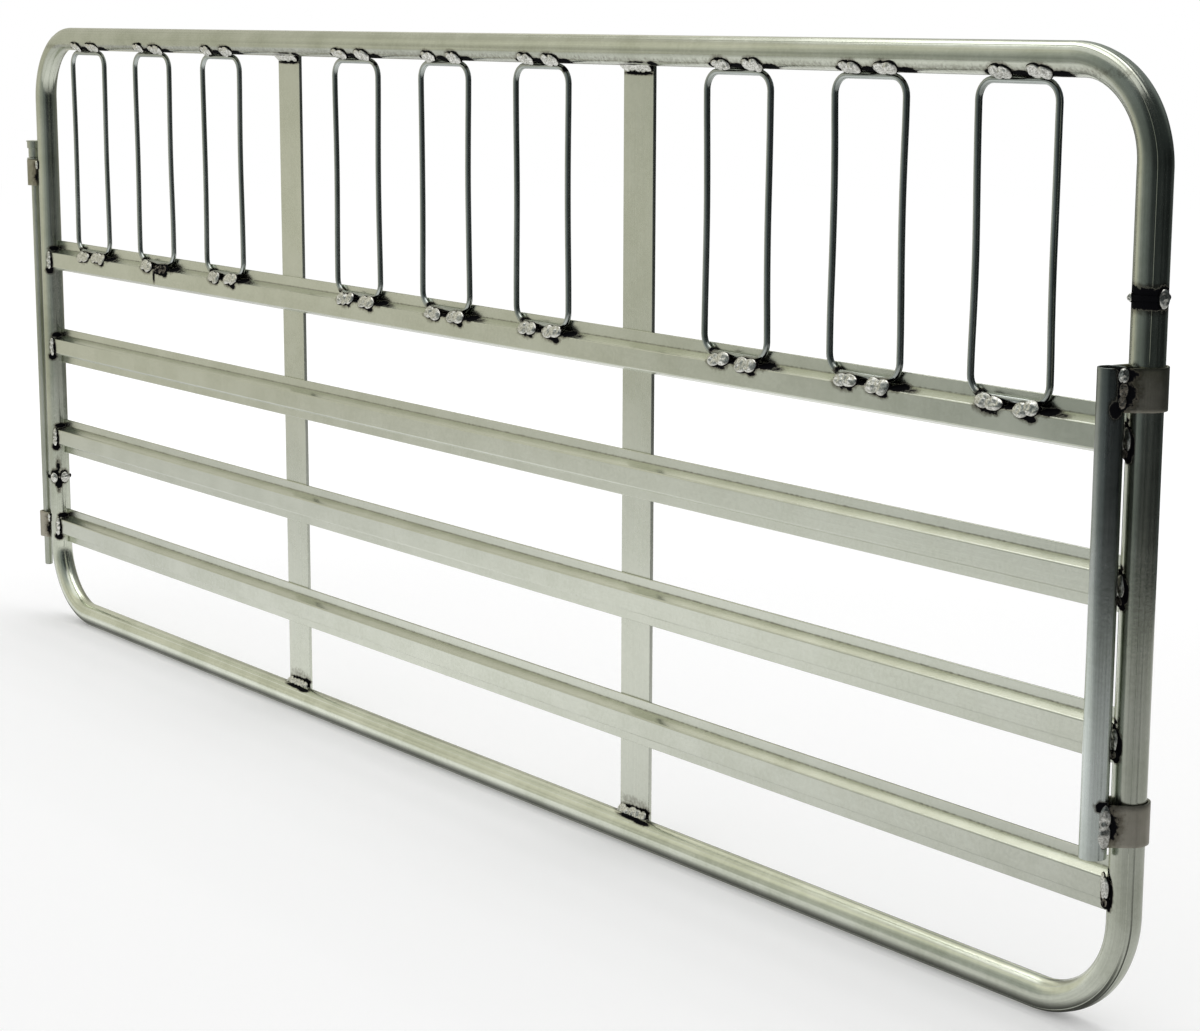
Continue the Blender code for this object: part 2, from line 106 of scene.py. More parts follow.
def blend_colour(tree, amount, first, second, mode="MIX"):
    """A colour Mix node and its output."""
    links = {0: amount, 6: first, 7: second}
    return add_node(tree, "ShaderNodeMix", links, data_type="RGBA", blend_type=mode).outputs[2]


def profile(tree, value, low, high, levels):
    """A grey level read off a list of (value, level) pairs, and blended between them."""
    share = sums(tree, "DIVIDE", sums(tree, "SUBTRACT", value, low), high - low)
    node = add_node(tree, "ShaderNodeValToRGB", {0: share})
    while len(node.color_ramp.elements) < len(levels):
        node.color_ramp.elements.new(0.5)
    for element, (at, level) in zip(node.color_ramp.elements, sorted(levels)):
        element.position = (at - low) / (high - low)
        element.color = (level, level, level, 1)
    return node.outputs[0]


def new_material(name):
    """An empty node material with its output node."""
    material = bpy.data.materials.new(name)
    material.use_nodes = True
    tree = material.node_tree
    tree.nodes.clear()
    return material, tree, add_node(tree, "ShaderNodeOutputMaterial")


# %% [markdown]
# The gate was cut out on white, so the stage is a white floor, a white world and one long soft
# lamp overhead. The floor's own glow only tops its colour up to white, and grows outwards, so
# the soft shadow of the gate stays.

# %% Floor, world and lamp
FLOOR_RADIUS = 16.0
FLOOR_WHITE = (0.86, 0.86, 0.86, 1)
GLOW_STARTS, GLOW_ENDS = 1.4, 4.5
GLOW_NEAR, GLOW_FAR = 0.17, 0.36
WORLD_LEVEL = 0.74
LAMP_PLACE = (-0.8, 0.9, 5.4)
LAMP_SIZE = (6.0, 2.6)
LAMP_WATTS = 86.0


def seen_directly(tree):
    """1 for camera, glossy and transmission rays, 0 for the rays that only carry light."""
    path = add_node(tree, "ShaderNodeLightPath")
    both = sums(tree, "MAXIMUM", path.outputs["Is Camera Ray"], path.outputs["Is Glossy Ray"])
    return sums(tree, "MAXIMUM", both, path.outputs["Is Transmission Ray"])


def stage_object(name, bm, material):
    """Turns a bmesh into a stage object with one material."""
    mesh = bpy.data.meshes.new(name)
    bm.to_mesh(mesh)
    bm.free()
    mesh.materials.append(material)
    obj = bpy.data.objects.new(name, mesh)
    bpy.context.scene.collection.objects.link(obj)
    return obj


floor_look, tree, out = new_material("white_floor")
diffuse = add_node(tree, "ShaderNodeBsdfDiffuse", {"Color": FLOOR_WHITE})
place = add_node(tree, "ShaderNodeTexCoord").outputs["Object"]
away = add_node(tree, "ShaderNodeVectorMath", {0: place}, operation="LENGTH").outputs["Value"]
grown = ramp(tree, away, GLOW_STARTS, GLOW_ENDS, GLOW_NEAR, GLOW_FAR)
glow = add_node(tree, "ShaderNodeEmission", {"Strength": sums(tree, "MULTIPLY", seen_directly(tree), grown)})
both = add_node(tree, "ShaderNodeAddShader", {0: diffuse.outputs[0], 1: glow.outputs[0]})
tree.links.new(both.outputs[0], out.inputs[0])
bm = bmesh.new()
bmesh.ops.create_circle(bm, cap_ends=True, radius=FLOOR_RADIUS, segments=96)
stage_object("floor", bm, floor_look)

world = bpy.data.worlds.new("white_studio")
world.use_nodes = True
bpy.context.scene.world = world
tree = world.node_tree
tree.nodes.clear()
white = ramp(tree, seen_directly(tree), 0.0, 1.0, WORLD_LEVEL, 1.0)
sky = add_node(tree, "ShaderNodeBackground", {"Color": (1, 1, 1, 1), "Strength": white})
add_node(tree, "ShaderNodeOutputWorld", {"Surface": sky.outputs[0]})

lamp_data = bpy.data.lights.new("overhead_soft_lamp", "AREA")
lamp_data.shape = "RECTANGLE"
lamp_data.size, lamp_data.size_y = LAMP_SIZE
lamp_data.energy = LAMP_WATTS
lamp = bpy.data.objects.new("overhead_soft_lamp", lamp_data)
lamp.location = LAMP_PLACE
bpy.context.scene.collection.objects.link(lamp)
print("floor of", FLOOR_RADIUS, "m and a lamp of", LAMP_WATTS, "W")

# %% [markdown]
# Bare metal shows its surroundings. A tent of cloth stands round the gate and an apron lies on
# the floor, and only reflections see them, so they shape the metal and light nothing. The tent
# is warm and pale towards the gate's left end, and cool and dark towards the right one, with a
# dimmer band at eye height where a horizon would be. The apron has a dark strip right below the
# gate, a painted contact shadow that the foot of the gate reflects.

# %% The tent that only reflections see
TENT_GAP = 2.4
TENT_HEIGHT = 5.2
STAGE_END = TENT_GAP + 1.5
# Brightness of the cloth by height above the floor, and of cloth and apron by place along the gate
CLOTH_BY_HEIGHT = ((0.0, 0.60), (0.35, 0.62), (0.62, 0.74), (0.98, 0.74), (1.22, 0.46), (1.36, 0.62),
                   (1.8, 0.68), (2.2, 0.84), (5.2, 0.95))
CLOTH_BY_PLACE = ((-3.9, 1.0), (-2.6, 1.0), (-1.0, 0.62), (0.2, 0.38), (1.8, 0.25), (2.7, 0.07), (3.9, 0.05))
APRON_BY_PLACE = ((-3.9, 0.68), (-2.2, 0.80), (-0.6, 1.02), (0.7, 0.76), (1.9, 0.46), (3.9, 0.42))
COOL_CLOTH = (0.78, 0.93, 1.0, 1)
WARM_CLOTH = (1.0, 0.98, 0.85, 1)
# The cloth changes over at X in FAR_LEFT, and is dimmer beyond Y in BEHIND, up to Z in LOW_CLOTH
FAR_LEFT_CLOTH = (0.66, 0.66, 0.66, 1)
FAR_LEFT = (-3.1, -3.6)
BEHIND_LEVEL = 0.40
BEHIND = (0.8, 1.8)
LOW_CLOTH = (1.4, 2.0)
APRON_Z = 0.0015
# Painted contact shadow: the apron is dimmed to this level in a strip close under the gate
CONTACT_SHADOW_LEVEL = 0.10
CONTACT_SHADOW_EDGES = (0.010, 0.062)


def stadium(bm, height):
    """A ring of points at one distance from the gate's whole length, and its edges."""
    made = bmesh.ops.create_circle(bm, radius=TENT_GAP, segments=96)["verts"]
    for vert in made:
        vert.co.x += math.copysign(tube_high.x, vert.co.x)
        vert.co.z = height
    return list({e for v in made for e in v.link_edges})


def only(kind, geom):
    """The points, edges or faces among the things that a bmesh operator gives back."""
    return [g for g in geom if isinstance(g, kind)]


def cloth_material(name):
    """A new material for cloth, with the place on it taken apart into X, Y and Z."""
    material, tree, out = new_material(name)
    place = add_node(tree, "ShaderNodeTexCoord").outputs["Object"]
    return material, tree, out, add_node(tree, "ShaderNodeSeparateXYZ", {0: place}).outputs


tent_look, tree, out, (x, y, z) = cloth_material("tent_cloth")
to_left = profile(tree, x, -STAGE_END, STAGE_END, CLOTH_BY_PLACE)
levels = profile(tree, z, 0.0, TENT_HEIGHT, CLOTH_BY_HEIGHT)
levels = blend_colour(tree, ramp(tree, x, *FAR_LEFT), levels, FAR_LEFT_CLOTH)
tint = blend_colour(tree, to_left, COOL_CLOTH, WARM_CLOTH)
cloth_colour = blend_colour(tree, 1.0, tint, levels, "MULTIPLY")
dimming = sums(tree, "MULTIPLY", ramp(tree, y, *BEHIND, 0.0, 1.0 - BEHIND_LEVEL),
               ramp(tree, z, *LOW_CLOTH, 1.0, 0.0))
strength = sums(tree, "MULTIPLY", to_left, sums(tree, "SUBTRACT", 1.0, dimming))
cloth = add_node(tree, "ShaderNodeEmission", {"Color": cloth_colour, "Strength": strength})
tree.links.new(cloth.outputs[0], out.inputs[0])
bm = bmesh.new()
raised = bmesh.ops.extrude_edge_only(bm, edges=stadium(bm, 0.0))["geom"]
bmesh.ops.translate(bm, vec=(0, 0, TENT_HEIGHT), verts=only(bmesh.types.BMVert, raised))
tent = stage_object("tent", bm, tent_look)

apron_look, tree, out, (x, y, z) = cloth_material("apron_cloth")
# Painted contact shadow in the apron, right under the gate
painted_contact_shadow = ramp(tree, sums(tree, "ABSOLUTE", y), *CONTACT_SHADOW_EDGES, CONTACT_SHADOW_LEVEL, 1.0)
strength = sums(tree, "MULTIPLY", profile(tree, x, -STAGE_END, STAGE_END, APRON_BY_PLACE), painted_contact_shadow)
cloth = add_node(tree, "ShaderNodeEmission", {"Strength": strength})
tree.links.new(cloth.outputs[0], out.inputs[0])
bm = bmesh.new()
bmesh.ops.contextual_create(bm, geom=stadium(bm, APRON_Z))
apron = stage_object("apron", bm, apron_look)
for cloth_object in (tent, apron):
    cloth_object.visible_camera = False
    cloth_object.visible_diffuse = False
    cloth_object.visible_shadow = False
    cloth_object.visible_transmission = False
print("tent of", len(tent.data.polygons), "panels, apron of", len(apron.data.polygons))

# %% [markdown]
# Places and sizes of the tubes, rails, loops and stays are read from the frame once.

# %% Sizes taken from the frame
CAD_GAP = 0.0003
BAND_STEP = 0.0006
BAND_R = (tube_high.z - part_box("neck_loop_1")[1].z - CAD_GAP) / 2
AXIS_X = tube_high.x - BAND_R
TOP_AXIS_Z = tube_high.z - BAND_R
TUBE_R = BAND_R - BAND_STEP
ROD_R = 0.0048
loops = {}
for number in range(1, 10):
    low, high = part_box("neck_loop_%d" % number)
    loops[number] = ((low.x + high.x) / 2, (low.y + high.y) / 2, low.z + ROD_R, high.z - ROD_R)
rails = {number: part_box("rail_%d" % number) for number in (1, 2, 3, 4)}
# Each rail's ledge is where its box begins, below the upper flange
TOP_RAIL_FLANGE = 0.0175
RAIL_FLANGE = 0.014
ledges = {number: high.z - (TOP_RAIL_FLANGE if number == 1 else RAIL_FLANGE)
          for number, (low, high) in rails.items()}
stays = {side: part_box("stay_" + side) for side in ("left", "right")}
right_upright = Vector((AXIS_X, 0, 0))
print("band radius", round(BAND_R, 5), "axis at", round(AXIS_X, 4), "loop 9 at", round(loops[9][0], 4))

# %% [markdown]
# The metal is lumpy at the welds, and soot lies round it, so the welds are listed before any
# piece is made. The same dark patches also paint shade: a weak smear along the top tube's
# underside, a thin line at the foot of each rail's ledge, and shadow painted in with the soot on
# the top tube beside each loop. A bead and a dark patch are both given from an anchor point in
# the frame, with shifts and sizes in millimetres. A bead has a start, an end and the direction it
# faces, and a dark patch has a reach along X, Y and Z. The tables are short because the nine
# loops are welded alike, four beads each.

# %% Where the weld beads, the soot and the painted shade are
beads = []
soot = []
SOOT_RIM = 1.3
RIM_DEPTH = 0.003
SOOT_EDGE = 0.90
WHOLE_LENGTH = 9000
BOX_MIDDLE = 0.0225
# Where the four beads of each neck loop begin and end, from the loop's middle: top left, top
# right, bottom left, bottom right
LOOP_BEADS = {
    1: (-38, -2, 26, 75, -52, -1, 10, 68), 2: (-40, -4, 20, 70, -48, 1, 13, 66),
    3: (-43, -7, 25, 70, -46, -1, 14, 63), 4: (-50, -5, 22, 66, -54, -1, 16, 67),
    5: (-43, -4, 29, 68, -47, 2, 20, 71), 6: (-43, -2, 21, 63, -47, 0, 16, 67),
    7: (-42, -1, 26, 68, -47, 0, 14, 63), 8: (-45, -3, 22, 68, -49, -1, 16, 63),
    9: (-38, 1, 29, 71, -51, 0, 20, 63)}
# Soot, and painted shadow on the top tube's underside beside the beads, at a loop's top bar; soot
# at its bottom bar. Each row: the two entries of LOOP_BEADS that it lies between, then shift,
# reach and strength
TOP_SOOT_AND_SHADOW = (((3, 3), (14, -10.5, 3.2), (21, 13, 6.4), 1.0), ((1, 2), (0, -10.5, 3.4), (19, 12, 6.2), 1.0),
            ((3, 3), (2, -2, -6), (8, 10, 7.5), 1.0), ((0, 0), (-3, -10, 3), (7, 10, 8), 1.0))
BOTTOM_SOOT = (((5, 6), (0, -4, -6.8), (14, 14, 5.8), 1.0), ((7, 7), (12, -3, -6.5), (20, 14, 8.5), 1.0),
               ((7, 7), (38, -6, -7.5), (18, 10, 5), 0.56), ((7, 7), (-12, -13, -18), (12, 6, 6), 1.0),
               ((5, 5), (-12, -13, -16.5), (9, 6, 3), 1.0), ((4, 4), (-3, 2, 2), (9, 8, 7), 1.0))
# The two beads side by side at a rail's right end: place, facing, top, change to smoky, foot
RAIL_BEADS = (((-15.0, -17.4), (-0.5, -0.87, 0), 25, -7, -17), ((-8.0, -21.4), (-0.1, -1, 0), 20, -11, -21))
SMOKY = 0.19
RAIL_4_SHORTER = 0.0045
# Blobs on the two seams: turn round the upright in degrees, width, height
SEAM_BLOBS = {"right": ((353, 19, 24), (243, 8, 11)), "left": ((308, 18, 21), (1, 21, 22))}


def soot_and_shade_patch(anchor, shift, reach, strength=1.0):
    """Notes one dark patch, soot and painted shade alike: its shift and reach along X, Y and Z, and how
    black it is.
    """
    soot.append((Vector(anchor) + Vector(shift) / 1000, Vector(reach) / 1000, strength))


def bead(group, anchor, start, end, out, width, height, puddles, fresh=1.0, rim=SOOT_RIM):
    """Notes one weld bead and the thin rim of soot round it; fresh is how clean its crown is."""
    start, end = (Vector(anchor) + Vector(shift) / 1000 for shift in (start, end))
    out = Vector(out).normalized()
    width, height, rim = width / 1000, height / 1000, rim / 1000
    beads.append((group, start, end, out, width, height, puddles, fresh, len(beads) + 1))
    along = (end - start) / 2
    across = out.cross(along.normalized()) * width / 2
    half = [abs(along[k]) + abs(across[k]) + abs(out[k]) * RIM_DEPTH + rim for k in range(3)]
    soot.append(((start + end) / 2, Vector(half) / SOOT_EDGE, 1.0))


for number, (x, y, low, high) in loops.items():
    group = "loop_welds_%d" % number
    top = (x, 0, high + ROD_R)
    bottom = (x, 0, low)
    ends = LOOP_BEADS[number]
    for start, end in (ends[0:2], ends[2:4]):
        bead(group, top, (start, -13.8, 7.0), (end, -13.8, 6.4), (0, -0.77, -0.63), 22.5, 6.2, 2)
    for start, end in (ends[4:6], ends[6:8]):
        bead(group, bottom, (start, -9.5, -6.6), (end, -9.5, -8.0), (0, -0.93, 0.36), 22.5, 6.8,
             2 if end - start < 52 else 3, 0.18 if number == 2 and start > 0 else 1.0)
    for anchor, table in ((top, TOP_SOOT_AND_SHADOW), (bottom, BOTTOM_SOOT)):
        for (first, second), shift, reach, strength in table:
            soot_and_shade_patch(anchor, (shift[0] + (ends[first] + ends[second]) / 2, *shift[1:]), reach, strength)
x, y, low, high = loops[2]
soot_and_shade_patch((x, 0, low), (10, -13, -24), (4, 6, 17))
# Painted shade: a weak dark smear along the whole underside of the top tube
soot_and_shade_patch((0, 0, TOP_AXIS_Z), (0, -16, -15), (WHOLE_LENGTH, 20, 7.5), 0.28)
for number, ledge in ledges.items():
    # Painted shade: a thin dark line along each rail where the flange meets the ledge
    soot_and_shade_patch((0, 0, ledge), (0, 6, 0), (WHOLE_LENGTH, 3.5, 2), 0.32)
    group = "rail_welds_%d" % number
    anchor = (AXIS_X - (RAIL_4_SHORTER if number == 4 else 0.0), 0, ledge - BOX_MIDDLE)
    for spot, out, top, change, foot in RAIL_BEADS:
        bead(group, anchor, (*spot, change), (*spot, top), out, 15.0, 4.5, 1)
        bead(group, anchor, (*spot, foot), (*spot, change + 6), out, 14.5, 4.0, 1, SMOKY)
    soot_and_shade_patch(anchor, (-9, -20.5, -20), (12, 10, 6))
    soot_and_shade_patch(anchor, (1, -22, -2), (3.5, 6, 18))
    soot_and_shade_patch(anchor, (-14, -14.5, 28), (12, 14, 4.2))
    anchor = (-AXIS_X, 0, ledge - BOX_MIDDLE)
    bead(group, anchor, (19, -15, -19), (19, -15, 18), (0.3, -0.95, 0), 11.5, 4.5, 3)
    soot_and_shade_patch(anchor, (23, -5, 24), (14, 14, 6))
    soot_and_shade_patch(anchor, (17, -14, -22), (12, 10, 9))
    soot_and_shade_patch(anchor, (25, -14, -4), (9, 8, 18), 0.9)
for side, (low, high) in stays.items():
    x0, x1, y = low.x, high.x, low.y
    middle = (x0 + x1) / 2
    half = (x1 - x0) * 500
    bead("stay_welds_" + side, (middle, y, high.z), (4 - half, -8, -6.0), (3 + half, -8, -6.6),
         (0, -0.72, -0.69), 21.5, 5.0, 5)
    bead("stay_welds_" + side, (middle, y, low.z), (1 - half, -5, 6.4), (1 + half, -5, 5.6),
         (0, -0.83, 0.55), 20.0, 5.6, 5)
    soot_and_shade_patch((middle, y, high.z), (0, 0, -17), (45, 5, 2.8), 0.9)
    soot_and_shade_patch((middle, 0, TOP_AXIS_Z), (24, -14.5, -17.8), (42, 4, 2.6), 0.72)
    soot_and_shade_patch((x1, 0, TOP_AXIS_Z), (22, -11, -19.5), (13, 9, 5))
    soot_and_shade_patch((middle, y, low.z), (0, 0, 16.4), (45, 6, 2.4))
    soot_and_shade_patch((x1, y, low.z), (-9, 0, 16.2), (16, 6, 4.5))
    soot_and_shade_patch((middle, y, low.z), (0, 0, 24), (50, 6, 12), 0.34)
    soot_and_shade_patch((middle, 0, 2 * BAND_R), (13, -6.8, -1.2), (39, 5.2, 4))
    soot_and_shade_patch((x1, 0, 2 * BAND_R), (4, -8.5, -1.6), (22, 6, 4.5))
for side, sign in (("right", 1), ("left", -1)):
    low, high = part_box("seam_weld_" + side)
    for turn, width, tall in SEAM_BLOBS[side]:
        out = Vector((math.cos(math.radians(turn)), math.sin(math.radians(turn)), 0))
        spot = Vector((sign * AXIS_X, 0, (low.z + high.z) / 2)) + out * (BAND_R + 0.0008)
        bead("seam_blobs_" + side, spot, (0, 0, -tall / 2), (0, 0, tall / 2), out, width, 6.2, 1)
        soot_and_shade_patch(spot, (0, 0, 2), (14, 14, 16.5))
soot_and_shade_patch((AXIS_X, 0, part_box("seam_weld_right")[0].z), (0, 0, 3), (100, 100, 18.5), 0.86)
for height, reach, strength in ((-9, (9, 10, 13), 1.0), (-21, (6, 8, 14), 0.5), (27, (6, 8, 22), 0.6)):
    soot_and_shade_patch((-AXIS_X, 0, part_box("seam_weld_left")[0].z), (19, -12, height), reach, strength)
print(len(beads), "straight beads and", len(soot), "patches of soot so far")

# %% [markdown]
# The beads of the collars and the strap loops stand upright where two round pipes come close.
# Their anchors are at the strap's lower edge, found from the direction between the two pipes.

# %% Beads and soot of the sleeve's collars and the strap loops
sleeve_low, sleeve_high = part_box("sleeve_pipe")
sleeve_axis = Vector(((sleeve_low.x + sleeve_high.x) / 2, (sleeve_low.y + sleeve_high.y) / 2, 0))
SLEEVE_R = (sleeve_high.x - sleeve_low.x) / 2
to_upright = (right_upright - sleeve_axis).normalized()
to_right = Vector((to_upright.y, -to_upright.x, 0))
for place in ("upper", "lower"):
    group = "collar_weld_" + place
    spot = sleeve_axis + to_upright * 0.0080 + to_right * 0.0162
    spot.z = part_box("collar_" + place)[0].z
    out = to_right - to_upright * 0.25
    if place == "upper":
        bead(group, spot, (0, 0, 35), (0, 0, 55), out, 15.0, 6.8, 1)
        bead(group, spot, (0, 0, 1.5), (0, 0, 40), out, 13.5, 5.8, 2, 0.20)
        soot_and_shade_patch(spot - to_upright * 0.008, (0, 0, 4), (7, 12, 13))
        soot_and_shade_patch(spot + to_upright * 0.011, (0, 0, 27), (5, 10, 24))
    else:
        bead(group, spot, (0, 0, -1), (0, 0, 55), out, 16.5, 6.2, 2, rim=-1.5)
        soot_and_shade_patch(spot - to_upright * 0.008, (0, 0, 53), (5, 8, 8))
    soot_and_shade_patch(spot - to_upright * 0.004, (0, 0, 56), (12, 12, 4.5))
rod_low, rod_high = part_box("hinge_rod")
rod_axis = Vector(((rod_low.x + rod_high.x) / 2, (rod_low.y + rod_high.y) / 2, 0))
to_post = (-right_upright - rod_axis).normalized()
to_front = Vector((to_post.y, -to_post.x, 0))
for place in ("upper", "lower"):
    spot = rod_axis + to_post * 0.0255 + to_front * 0.0185
    spot.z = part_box("strap_loop_" + place)[0].z
    bead("strap_weld_" + place, spot, (0, 0, 35), (0, 0, 53), to_front - to_post * 0.3, 8.5, 4.0, 2)
    soot_and_shade_patch(spot - to_post * 0.009, (0, 0, 20), (10, 12, 26), 0.70)
    soot_and_shade_patch(spot - to_post * 0.002, (0, 0, 8), (8, 8, 12), 0.42)
print(len(beads), "beads,", len(soot), "patches")

# %% [markdown]
# A dark patch, soot and painted shade alike, is stored on the points of a piece: highest in the
# middle of the patch, falling to 0 beyond its reach. The material then eats into that soft value
# with noise, which gives a ragged edge like that of real soot without any image.

# %% Storing soot, painted shade and the direction of the grain on a piece
SOOT_AND_SHADE_FADE = 1.35
patch_middles = np.array([row[0] for row in soot], float)
patch_reaches = np.array([row[1] for row in soot], float)
patch_strengths = np.array([row[2] for row in soot], float)
# The order of X, Y and Z that puts the direction of the grain last
UPRIGHT_GRAIN = [0, 1, 2]
LENGTHWISE_GRAIN = [1, 2, 0]
materials = {}


def soot_and_shade_on(points, at_once=1000):
    """How dark each point is, from the list of patches of soot and painted shade."""
    best = np.zeros(len(points))
    for start in range(0, len(points), at_once):
        part = points[start:start + at_once]
        near = ((patch_middles - SOOT_AND_SHADE_FADE * patch_reaches < part.max(axis=0))
                & (patch_middles + SOOT_AND_SHADE_FADE * patch_reaches > part.min(axis=0))).all(axis=1)
        if near.any():
            away = np.linalg.norm((part[:, None, :] - patch_middles[near]) / patch_reaches[near], axis=2)
            blackness = patch_strengths[near] * np.clip(SOOT_AND_SHADE_FADE - away, 0, 1)
            best[start:start + at_once] = blackness.max(axis=1)
    return best


def finish_piece(name, bm, slot, body, node=None, smooth=None, grain=UPRIGHT_GRAIN):
    """Makes the object of a finished piece: mesh, grain, soot and painted shade, material, body, slot and
    CAD node.
    """
    open_edges = sum(1 for edge in bm.edges if not edge.is_manifold)
    triangles = sum(len(face.verts) - 2 for face in bm.faces)
    mesh = bpy.data.meshes.new(name)
    bm.to_mesh(mesh)
    bm.free()
    points = np.empty(len(mesh.vertices) * 3)
    mesh.vertices.foreach_get("co", points)
    points = points.reshape(-1, 3)
    if "grain_place" not in mesh.attributes:
        layer = mesh.attributes.new("grain_place", "FLOAT_VECTOR", "POINT")
        layer.data.foreach_set("vector", points[:, grain].astype(np.float32).ravel())
    layer = mesh.attributes.new("soot_and_shade_reach", "FLOAT", "POINT")
    layer.data.foreach_set("value", soot_and_shade_on(points).astype(np.float32))
    if smooth is not None:
        mesh.shade_smooth()
        mesh.set_sharp_from_angle(angle=math.radians(smooth))
    mesh.materials.append(materials[slot])
    obj = bpy.data.objects.new(name, mesh)
    bpy.context.scene.collection.objects.link(obj)
    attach(obj, body)
    if node:
        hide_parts(node)
    print("%-22s %6d triangles, %d open edges" % (name, triangles, open_edges))

# %% [markdown]
# Three effects are shared by the metals, so each is a node group that is built once. Drawn lines
# are the fine scores of the die, mottle is the cloudy oxide of bare aluminium, and the ragged edge
# turns the stored soft value of soot and painted shade into black with an uneven edge.

# %% Node groups
SCORE_STRETCH = (1.0, 1.0, 0.006)
SCORE_SCALE = 420.0
CLOUD_SCALE = 9.0
SPECK_SCALE = 170.0
RAGGED_SCALE = 190.0
RAGGED_DEPTH = 0.60


def new_group(name, takes, gives):
    """A node group with its inputs and outputs; takes lists names and kinds, gives only names."""
    tree = bpy.data.node_groups.new(name, "ShaderNodeTree")
    for title, kind in takes:
        tree.interface.new_socket(title, in_out="INPUT", socket_type="NodeSocket" + kind)
    for title in gives:
        tree.interface.new_socket(title, in_out="OUTPUT", socket_type="NodeSocketFloat")
    return tree, tree.nodes.new("NodeGroupInput").outputs, tree.nodes.new("NodeGroupOutput").inputs


def noise_value(tree, place, scale, detail=2.0, rough=0.5):
    """A Noise Texture's value at a place."""
    links = {"Vector": place, "Scale": scale, "Detail": detail, "Roughness": rough}
    return add_node(tree, "ShaderNodeTexNoise", links).outputs[0]


drawn_lines, given, result = new_group("drawn_lines", [("Grain Place", "Vector")], ["Lines"])
tree = drawn_lines
links = {0: given[0], 1: SCORE_STRETCH}
squeezed = add_node(tree, "ShaderNodeVectorMath", links, operation="MULTIPLY").outputs[0]
tree.links.new(ramp(tree, noise_value(tree, squeezed, SCORE_SCALE, 3.0, 0.6), 0.25, 0.75), result[0])

mottle, given, result = new_group("mottle", [("Place", "Vector")], ["Cloud", "Speck"])
tree = mottle
tree.links.new(ramp(tree, noise_value(tree, given[0], CLOUD_SCALE, 5.0, 0.62), 0.30, 0.70), result[0])
tree.links.new(ramp(tree, noise_value(tree, given[0], SPECK_SCALE, 3.0, 0.6), 0.30, 0.70), result[1])

ragged_soot_and_shade, given, result = new_group(
    "ragged_soot_and_shade", [("Place", "Vector"), ("Reach", "Float")], ["Mask", "Scorch"])
tree = ragged_soot_and_shade
uneven = sums(tree, "SUBTRACT", noise_value(tree, given[0], RAGGED_SCALE, 4.0, 0.6), 0.5)
eaten = sums(tree, "ADD", given[1], sums(tree, "MULTIPLY", uneven, RAGGED_DEPTH))
tree.links.new(ramp(tree, eaten, 0.43, 0.57), result[0])
tree.links.new(ramp(tree, eaten, 0.10, 0.50), result[1])
print("node groups:", [g.name for g in bpy.data.node_groups])

# %% [markdown]
# One recipe serves all the drawn metals. Bare aluminium is a warm grey metal with a satin polish.
# Scores dull it a little, clouds tint it, and soot and painted shade cover it with something that
# isn't metal at all: black, rough and almost without shine. Frame tube and sleeve carry a painted
# reflection: their colour is darker higher up, standing in for the darker surroundings they mirror.

# %% The drawn metals
SOOT_AND_SHADE_BLACK = (0.003, 0.003, 0.004, 1)
SOOT_AND_SHADE_SHINE = 0.04
SOOT_AND_SHADE_ROUGHNESS = 0.85
SCORCH_BROWN = (0.115, 0.100, 0.070, 1)
RELIEF_DEPTH = 0.001
GATE_TOP = 1.3
# How strongly scores, specks, scorching and clouds show, and how much darker or lighter they are
SCORE_SHARE, SCORE_SHADE = 2.2, 0.55
SPECK_SHARE, SPECK_SHADE, SPECK_HEIGHT = 0.14, 1.35, 0.5
SCORCH_SHARE = 0.75
CLOUD_ROUGHNESS = 0.05


def stored(tree, name, output="Fac"):
    """A value kept on the points of a piece."""
    return add_node(tree, "ShaderNodeAttribute", attribute_name=name).outputs[output]


def placed_group(tree, group, *sources):
    """Places a node group, links its first inputs, and gives its outputs."""
    node = add_node(tree, "ShaderNodeGroup", node_tree=group)
    for source, socket in zip(sources, node.inputs):
        tree.links.new(source, socket)
    return node.outputs[:]


def shade(colour, *shares):
    """A colour with its red, green and blue multiplied, as a socket takes it."""
    return tuple(c * share for c, share in zip(colour, shares)) + (1,)


def put_on_soot_and_shade(tree, out, colour, rough, mask, height, bump):
    """Covers a bare metal with soot and painted shade where the mask says, and ends the material."""
    relief = add_node(tree, "ShaderNodeBump", {"Height": height, "Strength": bump, "Distance": RELIEF_DEPTH})
    links = {"Base Color": blend_colour(tree, mask, colour, SOOT_AND_SHADE_BLACK),
             "Roughness": ramp(tree, mask, 0.0, 1.0, rough, SOOT_AND_SHADE_ROUGHNESS),
             "Metallic": sums(tree, "SUBTRACT", 1.0, mask),
             "Specular IOR Level": SOOT_AND_SHADE_SHINE, "Normal": relief.outputs[0]}
    shader = add_node(tree, "ShaderNodeBsdfPrincipled", links)
    tree.links.new(shader.outputs[0], out.inputs[0])


